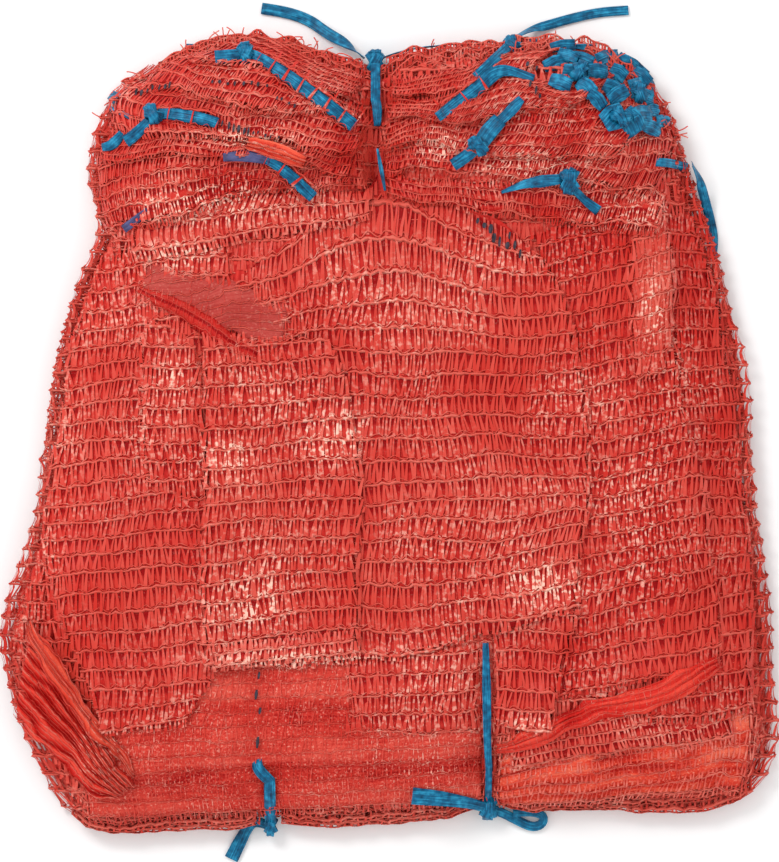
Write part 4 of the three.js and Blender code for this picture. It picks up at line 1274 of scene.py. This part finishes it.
def knot_shapes(centre, heading, half, seed):
    """A pulled knot: three wraps of crumpled tape round the tape's heading, crossing each other."""
    along = np.array([math.cos(math.radians(heading)), math.sin(math.radians(heading)), 0.0])
    beside = np.array([-along[1], along[0], 0.0])
    shapes = []
    for k, (tilt, grow) in enumerate(KNOT_WRAPS):
        across = beside * math.cos(tilt) + along * math.sin(tilt)
        start = KNOT_START * k
        turns = np.linspace(start, start + 2 * math.pi * KNOT_ROUND, KNOT_POINTS)
        out = np.cos(turns)[:, None] * across + np.sin(turns)[:, None] * UP
        dents = grow * (1 + KNOT_DENTS * np.sin(3 * turns + seed + 2 * k))
        size = np.stack([half[0] * dents, half[0] * dents, half[1] * dents], axis=-1)
        wrap = strip_shape(centre + out * size, out, half[0] * KNOT_WIDTH, seed + k, crease=KNOT_CREASE)
        shapes.append(wrap)
    return shapes


def strips_mesh(name, shapes, material):
    """Strips of film as one mesh."""
    points, faces, cloth = [], [], []
    count = 0
    for top, bottom, lengths in shapes:
        strip_points, strip_faces = closed_sheet(top, bottom, count)
        points.append(strip_points)
        faces.append(strip_faces)
        cloth.append(np.tile(lengths, (2, 1)))
        count += len(strip_points)
    return sheet_mesh(name, np.concatenate(points), np.concatenate(faces), np.concatenate(cloth), material)


def add_tape(name, shapes, *nodes, material=TAPE_MATERIAL):
    """Strips of film as one piece, which stands for nodes of the solid model."""
    tape = add_piece(name, strips_mesh(name, shapes, material))
    if nodes:
        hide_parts(*nodes)
    return tape


def lying_line(places, step=LINE_STEP):
    """A line on the layers, through places in millimetres: x, y and how far above the layers it runs."""
    count = max(LINE_LEAST, int(line_length(smooth_line(places, LINE_SAMPLES)[:, :2]) / step))
    line = smooth_line(places, count)
    level = line[:, 2] + height_at(line[:, 0], line[:, 1])
    line[:, 2] = [level[max(0, k - LINE_SMOOTH):k + LINE_SMOOTH + 1].mean() for k in range(count)]
    return line


def blended(widths, shares):
    """Widths at shares of a tape's length, from a few in millimetres that are evenly spaced along it."""
    return np.interp(shares, np.linspace(0, 1, len(widths)), widths) / 1000


def lying_strip(places, widths, seed, **film):
    """A strip lying on the layers, its widths in millimetres blended along it."""
    line = lying_line(places)
    return strip_shape(line, UP, blended(widths, np.linspace(0, 1, len(line))), seed, **film)


def knot_on(place, heading, half, seed):
    """A knot lying on the layers, at a place in millimetres."""
    x, y = place[0] / 1000, place[1] / 1000
    level = height_at(np.array([x]), np.array([y]))[0] + half[1] / 1000 * KNOT_LIFT
    return knot_shapes(np.array([x, y, level]), heading, (half[0] / 1000, half[1] / 1000), seed)


def hem_loops(name, places, seed):
    """The threads of a hem that cross a drawstring, between two chains, along places in millimetres."""
    line = lying_line([(x, y, above + HEM_LIFT) for x, y, above in places])
    sides = unit(np.cross(np.gradient(line, axis=0), UP))
    across = np.linspace(1, -1, HEM_SAMPLES)
    grid = line[None, :, :] + sides[None, :, :] * (across * HEM_WIDTH / 1000)[:, None, None]
    grid[..., 2] += np.maximum(HEM_RISE * (1 - (2 * across) ** 4), HEM_DIP)[:, None]
    weave = flat_weave(grid, (line_length(line), 2 * HEM_WIDTH / 1000))
    return add_piece(name, knit_mesh(name, grid, weave, seed, **HEM_KNIT))


# Each has strips with their places and widths, a knot on the first strip with its place, heading and half
# sizes, and the line along which the loops of the hem cross it, all in millimetres.
DRAWSTRINGS = {
    "drawstring_1": {
        "strips": [
            ([(-89, 195, 1), (-80, 196, 1.5), (-73, 197, 2)], (7, 6.5, 5)),
            ([(-71, 197, 1), (-66, 195, 1), (-42, 178, 0.8), (-17, 159, 0.8)], (5, 7, 7, 7)),
        ],
        "knot": ((-73, 197.5), 10, (4.6, 3.2)),
        "loops": [(-66, 195, 1), (-42, 178, 0.8), (-17, 159, 0.8)],
    },
    "drawstring_2": {
        "strips": [
            ([(-135, 151, 1), (-128, 156, 1.2), (-122, 162, 2)], (6.5, 6, 5)),
            ([(-118, 165, 1), (-110, 165, 0.8), (-92, 161.5, 0.6), (-87, 160, 0)], (5, 6.5, 6.5, 5.5)),
            ([(-148, 149, 0.8), (-142, 150, 2.5), (-137, 156, 1.5)], (4, 6, 4)),
        ],
        "knot": ((-120.5, 164.5), 40, (4.6, 3.2)),
        "loops": [(-113, 165, 0.8), (-92, 161.5, 0.6), (-87, 160, 0.2)],
    },
    "drawstring_3": {
        "strips": [([(-62, 141, 0.6), (-56, 138, 0.9), (-48, 131, 1.2), (-38, 122, 1.2)], (4.5, 6, 6.5, 6))],
        "loops": [(-62, 141, 0.6), (-55, 137, 0.8), (-48, 131, 1.2), (-39, 123, 1.2)],
    },
    "drawstring_4": {
        "strips": [([(-136, 106, 0.8), (-123, 115, 0.8)], (4.5, 4))],
        "material": DIM_MATERIAL,
    },
    "drawstring_5": {
        "strips": [
            ([(46, 184, -0.4), (55, 193, 0.6), (63, 202, 1.5)], (6, 6, 5)),
            ([(68, 206, 2), (73, 206, 2.5), (79, 205, 1.5)], (3, 2.5, 3.5)),
        ],
        "knot": ((66, 203), 45, (4.6, 3.2)),
    },
    "drawstring_6": {
        "strips": [
            (
                [
                    (26, 163, -0.6), (38, 172, 0.4), (49, 180, 0.8), (56, 187, 2.0), (63, 188, 2.2),
                    (76, 183.5, 1.0),
                ],
                (5, 6.5, 7, 7.5, 5, 3.5),
            ),
        ],
        "crease": 0.0005,
        "loops": [(29, 165, 0.2), (38, 172, 0.5), (50, 181, 0.9)],
    },
    "drawstring_7": {
        "strips": [
            ([(34, 138.5, -0.5), (41, 143, 0.3), (46, 147, 1.2)], (6.5, 6.5, 6)),
            ([(48, 149, 2.5), (52, 155, 2.6), (58, 161.5, 2.2)], (8, 9, 8)),
            ([(57, 160, 0.8), (63, 165, 1.0), (68, 171, 2.4), (69, 172, 0.5)], (5, 5.5, 6, 4)),
        ],
        "knot": ((47, 148), 50, (4.4, 2.8)),
    },
    "drawstring_8": {
        "strips": [
            ([(59, 124.5, 0.2), (66, 127, 0.6), (72, 129, 0.9), (90, 131, 1.2)], (1.5, 4, 6.5, 5)),
            ([(95, 127, 1.5), (101, 121, 1.0), (109, 115, 1.0)], (4, 4.2, 5.5)),
        ],
        "knot": ((93.5, 130), 0, (5.4, 3.4)),
    },
}
tape_seed = 0
loops_seed = 200
for name, tape in DRAWSTRINGS.items():
    shapes = []
    for k, (places, widths) in enumerate(tape["strips"]):
        tape_seed += 1
        shapes.append(lying_strip(places, widths, tape_seed, crease=tape.get("crease", TAPE_CREASE)))
        if k == 0 and "knot" in tape:
            tape_seed += 1
            shapes += knot_on(*tape["knot"], tape_seed)
    add_tape(name + "_tape", shapes, name, material=tape.get("material", TAPE_MATERIAL))
    if "loops" in tape:
        loops_seed += 1
        hem_loops(name + "_loops", tape["loops"], loops_seed)

# The tapes in the folds
# Bits of other drawstrings show between the folds of the mouths, or dimly through a single layer of net.
# Others lie deeper, in shade, and show only as dark slots between the strands, drawn as strips of painted
# shade.
add_tape(
    "buried_tapes",
    [
        lying_strip([(-145, 178, -0.6), (-141, 175, 1.0), (-139, 173, 0.5)], (5, 7, 5), 21, crease=0.0008),
        lying_strip([(-146, 171, 0.2), (-138, 167, 0.2), (-130, 162, 0.2)], (2, 2.5, 2), 23),
        lying_strip([(-106, 203.5, 1.0), (-97, 203, 0.5)], (3.5, 3), 24),
        lying_strip([(139, 141, 1.6), (149, 141, 2.0), (157, 139.5, 1.6)], (4.5, 4.5, 5), 27),
    ],
)
add_tape(
    "covered_tape",
    [lying_strip([(-84, 142, 0.2), (-72, 143, 0.4), (-60, 140, 0.2)], (4.2, 6, 4.2), 28)],
    material=DIM_MATERIAL,
)
# The two ends of such a tape, how many slots show it, and a slot's size, in millimetres.
SLOTTED = (
    (-87, 160, -71, 155, 7, 1.7, 4.2), (-69, 155, -56, 152, 5, 1.1, 2.4),
    (-130, 177, -112, 181, 7, 1.5, 3.4), (-90, 181, -62, 180, 8, 1.5, 2.2),
    (-57, 173, -47, 169, 4, 1.3, 2.2), (47, 110, 54, 106, 3, 2.1, 4.2),
    (55, 102, 62, 97, 3, 2.3, 4.8), (63, 103, 69, 93, 3, 1.8, 4.4),
    (74, 180, 79, 174, 3, 1.6, 3.5), (73, 191, 77, 189, 2, 1.7, 2.6),
    (-66, -125, -68, -135, 2, 1.7, 5.5), (-66, -143, -67, -160, 2, 1.8, 5.5),
)
SLOTTED_SEED = 11
SLOTTED_LEAST = (-0.5, -0.7, 0.6, 0.6)
SLOTTED_MOST = (0.5, 0.7, 1.2, 1.2)
SLOTTED_LEAN = 0.3
SLOTTED_LIFT = 0.1
SLOTTED_CREASES = 33
slot_random = np.random.default_rng(SLOTTED_SEED)
slot_shapes = []
for x0, y0, x1, y1, count, width, height in SLOTTED:
    for share in np.linspace(0, 1, count):
        shift_x, shift_y, wide, tall = slot_random.uniform(SLOTTED_LEAST, SLOTTED_MOST)
        x, y = x0 + (x1 - x0) * share + shift_x, y0 + (y1 - y0) * share + shift_y
        half, slot_width = height * tall / 2, width * wide
        slot = [(x + side * SLOTTED_LEAN, y + side * half, SLOTTED_LIFT) for side in (-1, 0, 1)]
        widths = (slot_width * 0.5, slot_width, slot_width * 0.6)
        slot_shapes.append(lying_strip(slot, widths, SLOTTED_CREASES + share))
add_tape("slotted_tapes", slot_shapes, material=SLOT_MATERIAL)

# The bunch of ends on the right
# Ends of several drawstrings lie crossed and crumpled in a bunch on the right lobe, some of them knotted.
# Each has its two ends and its width in millimetres.
BUNCH = (
    (85, 201, 98, 203, 5.2), (98, 202, 109, 202, 2.6), (81, 190, 94, 194.5, 6.2), (91, 188, 104.5, 185, 7.3),
    (103, 188, 114, 187.5, 6.2), (99, 181.5, 106, 174.5, 7.3), (104.5, 176, 111.5, 168, 5.7),
    (108.5, 194, 121, 197.5, 7.5), (120, 197, 135, 187, 8.3), (125, 180, 139.5, 181.5, 8.3),
    (126, 174.5, 138, 173.5, 9.4), (135.5, 168.5, 141, 168.5, 5.2), (111, 159.5, 122, 166, 10.4),
    (121, 166, 129, 155.5, 11.0), (126, 164, 136, 166, 7.3), (140, 163, 147, 163.5, 5.2),
    (84, 183, 95, 179, 6.5), (112, 181, 121, 176, 7.0), (114, 172, 124, 178, 6.5), (96, 196, 107, 192, 6.0),
    (129, 190, 137, 183, 6.5), (131, 160, 141, 157, 6.0), (116, 190, 124, 185, 7.0), (89, 198, 99, 194, 5.0),
)
BUNCH_SEED = 40
BUNCH_LIFTS = (1.2, 2.6, 1.8)
BUNCH_CROWN = 0.06
BUNCH_CREASE = 0.0014
BUNCH_KNOTS = (((131, 177), 20), ((120, 163), 50), ((99, 187), -20))
BUNCH_KNOT_SEED = 60
BUNCH_KNOT_HALF = (4.4, 2.6)
bunch_shapes = []
for k, (x0, y0, x1, y1, width) in enumerate(BUNCH):
    spots = ((x0, y0), ((x0 + x1) / 2, (y0 + y1) / 2), (x1, y1))
    places = [(*spot, lift) for spot, lift in zip(spots, BUNCH_LIFTS)]
    widths = (width * 0.95, width * 1.35, width * 1.05)
    strip = lying_strip(places, widths, BUNCH_SEED + k, crown=BUNCH_CROWN, crease=BUNCH_CREASE)
    bunch_shapes.append(strip)
    raise_heights(strip[0])
for k, (place, heading) in enumerate(BUNCH_KNOTS):
    bunch_shapes += knot_on(place, heading, BUNCH_KNOT_HALF, BUNCH_KNOT_SEED + 3 * k)
add_tape("bunch_of_ends", bunch_shapes, "drawstring_bunch")

# The three ties
# Each comes out of the pile, lies in the valley that it pulls, goes over the edge and back underneath, and
# is knotted outside the edge with short ends. The top one is also glimpsed between the loops before that.
EDGE_HEIGHT = 0.008
EDGE_MIDDLE = 0.016
EDGE_TURNS = 24
EDGE_STEP = 0.002
EDGE_CLEAR = 0.15
EDGE_ABOVE = 0.6
EDGE_UPPER = 0.3
TIE_LIFT = 0.0019
TIE_LEAST = 0.0006
TIE_CROWN = 0.08
KNOT_OUT = 0.0038
GLIMPSE_WIDTHS = (1.2, 2.4, 1.2)
END_POINTS = 40
# Places in millimetres, with the height above the layers. The ends start at the knot and are given from it,
# with their places, the way that they face and their widths.
TIES = {
    "top_tie": {
        "places": [(-5, 160, -3.5), (-5, 165, -0.8), (-5, 169, 0.5)],
        "widths": (3.5, 4.5, 5.0, 5.0),
        "glimpse": [(-1, 126, 0.4), (-3, 137, 0.6), (-5, 148, -0.6)],
        "edge": (-6, 190),
        "knot": (0.0052, 0.0034),
        "seed": 70,
        "ends": [
            ([(0, 0, 0), (10, 4, 2), (24, 7, 4), (41, 8.5, 5)], (0, 1, 0), (5, 5, 4, 3)),
        ],
    },
    "left_tie": {
        "places": [(-67.5, -166, -3), (-67.5, -170, -0.5), (-67, -174, 0.5)],
        "widths": (4.5, 6.0, 6.0),
        "edge": (-61, -196),
        "knot": (0.0038, 0.0028),
        "seed": 75,
        "ends": [
            (
                [(0, 0, 1), (-6, 2, -2), (-11, 1, -5), (-16, -8, -6.8), (-21, -18, -6.9)],
                (0, 0, 1),
                (5, 5, 6, 7, 7.4),
            ),
        ],
    },
    "right_tie": {
        "places": [(51, -108, 0.5), (51.5, -130, 1.0), (52, -160, 1.2)],
        "widths": (3.2, 4.6, 4.2, 3.6),
        "edge": (53, -190),
        "knot": (0.0052, 0.0034),
        "seed": 80,
        "ends": [
            ([(0, 0, 2), (-8, 3, 9), (-22, 6, 15), (-40, 8, 18)], (0, 0, 1), (5, 6, 8, 9)),
            (
                [
                    (0, 0, 0), (8, -3, -3), (17, -8, -6), (24, -11, -6.4), (29, -9, -6), (29.5, -4.5, -5),
                    (24, -2.5, -4), (13, -3, -2),
                ],
                (0, 0, 1),
                (5, 5, 5, 4.5, 4),
            ),
        ],
    },
}


def tie_line(places, edge):
    """A tie over the layers, round the edge and back under the pile, how it faces, and where it turns."""
    outwards = np.array([0.0, math.copysign(1.0, edge[1]), 0.0])
    middle = np.array([edge[0] / 1000, edge[1] / 1000, EDGE_HEIGHT]) - outwards * EDGE_MIDDLE
    over = lying_line([*places, (middle[0] * 1000, middle[1] * 1000, EDGE_ABOVE)], EDGE_STEP)
    points, ups = list(over[:-1]), [UP] * (len(over) - 1)
    for k in range(EDGE_TURNS + 1):
        turn = math.pi * (0.5 - k / EDGE_TURNS)
        out = outwards * math.cos(turn) + UP * math.sin(turn)
        hit = pile_tree.ray_cast(Vector(middle + out * EDGE_CLEAR), Vector(-out))[0]
        point = middle + out * ((np.array(hit) - middle) @ out + TIE_LIFT)
        if turn > EDGE_UPPER:
            point[2] = max(point[2], height_at(point[:1], point[1:2])[0] + TIE_LEAST)
        points.append(point)
        ups.append(out)
    points.append(points[-1] - outwards * EDGE_MIDDLE)
    ups.append(-UP)
    return np.array(points), np.array(ups), len(over) - 1 + EDGE_TURNS // 2


tie_knots = {}
for name, tie in TIES.items():
    line, ups, turn = tie_line(tie["places"], tie["edge"])
    lying = turn - EDGE_TURNS // 2
    widths = blended(tie["widths"], np.arange(len(line)) / lying)
    knot = line[turn] + ups[turn] * KNOT_OUT
    tie_knots[name] = knot
    shapes = [strip_shape(line, ups, widths, tie["seed"], crown=TIE_CROWN)]
    if "glimpse" in tie:
        shapes.append(lying_strip(tie["glimpse"], GLIMPSE_WIDTHS, tie["seed"]))
    shapes += knot_shapes(knot, 0, tie["knot"], tie["seed"] + 1)
    for k, (places, facing, widths) in enumerate(tie["ends"]):
        path = smooth_line(np.array(places) + knot * 1000, END_POINTS)
        widths = blended(widths, np.linspace(0, 1, END_POINTS))
        shapes.append(strip_shape(path, facing, widths, tie["seed"] + 4 + k))
    add_tape(name + "_tape", shapes, name)

# The loose ends
# Three long ends of tape come down beside the pile and lie on the table. They turn from standing on edge,
# where they leave the bundle, to lying flat.
FLOOR = 0.7
LOOSE_POINTS = 48
LOOSE_SEED = 90
LOOSE_CROWN = 0.03
TWIST_SHARE = 0.4
top_knot = tie_knots["top_tie"] * 1000
# Places and width in millimetres, and the way that the end faces where it leaves the bundle.
LOOSE_ENDS = {
    "top_tie_end": {
        "places": [
            (top_knot[0] - 6, top_knot[1] + 1.5, top_knot[2]), (-21, top_knot[1] + 9, 9), (-32, 211, 3),
            (-41, 218, FLOOR), (-53, 222, FLOOR), (-66, 224, FLOOR),
        ],
        "from": (0, 1, 0),
        "width": 6,
    },
    "drawstring_5_end": {
        "places": [
            (68.5, 208, 13), (75, 212, 6), (84, 215, FLOOR), (98, 219, FLOOR), (112, 222, FLOOR),
            (127, 223, FLOOR),
        ],
        "from": (0, 1, 0),
        "width": 5,
    },
    "side_end": {
        "places": [
            (159, 141, 17), (163.5, 133, 11), (167, 123, 5), (170, 113, FLOOR), (172, 103, FLOOR),
            (171, 93, FLOOR),
        ],
        "from": (1, 0, 0),
        "width": 5,
    },
}
for k, (name, end) in enumerate(LOOSE_ENDS.items()):
    path = smooth_line(end["places"], LOOSE_POINTS)
    share = np.clip(np.linspace(0, 1, LOOSE_POINTS) / TWIST_SHARE, 0, 1)[:, None]
    share = share * share * (3 - 2 * share)
    ups = unit(np.array(end["from"], dtype=float) * (1 - share) + UP * share)
    width = end["width"] / 1000
    path[:, 2] = np.maximum(path[:, 2], FLOOR / 1000 + width / 2 * np.hypot(ups[:, 0], ups[:, 1]))
    tape = add_tape(name + "_tape", [strip_shape(path, ups, width, LOOSE_SEED + k, crown=LOOSE_CROWN)], name)

# The frayed ends
# Round the lobes, cut and torn ends of the narrow tape that the bags are knitted from stand out of the folds
# and curl.
FRAY_SEED = 7
FRAY_COUNT = 34
FRAY_POINTS = 9
FRAY_WIDTH = 0.0006
FRAY_START = 0.0015
FRAY_ROOT = -0.6
FRAY_CLEAR = 0.25
FRAY_TONES = (0.3, 0.8)
# The least and the most of a frayed end's height, length and bend.
FRAY_LEAST = (0.008, 0.002, -1.7)
FRAY_MOST = (0.024, 0.0055, 1.7)
# The middle of each lobe, and from where to where round it the ends stand, in degrees.
FRAY_LOBES = ((-0.072, 0.145, 25, 178), (0.078, 0.150, 2, 150))
fray_random = np.random.default_rng(FRAY_SEED)
fray_shapes, fray_tones = [], []
for x, y, first, last in FRAY_LOBES:
    for angle in np.radians(fray_random.uniform(first, last, FRAY_COUNT)):
        level, length, bend = fray_random.uniform(FRAY_LEAST, FRAY_MOST)
        out = np.array([math.cos(angle), math.sin(angle), 0.0])
        beside = np.array([-out[1], out[0], 0.0])
        hit = pile_tree.ray_cast(Vector((x, y, level)) + Vector(out) * FRAY_CLEAR, Vector(-out))[0]
        if hit is None:
            continue
        reach = FRAY_START + np.linspace(FRAY_ROOT, 1, FRAY_POINTS)[:, None] * length
        curl = np.linspace(0, 1, FRAY_POINTS)[:, None] ** 2 * bend * length
        spine = np.array(hit) + out * (reach - 0.4 * np.abs(curl)) + beside * curl + UP * np.abs(curl) * 0.3
        fray_shapes.append(strip_shape(spine, UP, FRAY_WIDTH, level * 1000, crease=0.0))
        fray_tones.append(fray_random.uniform(*FRAY_TONES))
fray_mesh = strips_mesh("frayed_ends", fray_shapes, NET_MATERIAL)
set_looks(fray_mesh, {"tone": np.repeat(fray_tones, 2 * FRAY_POINTS * FILM_SAMPLES)})
add_piece("frayed_ends", fray_mesh)
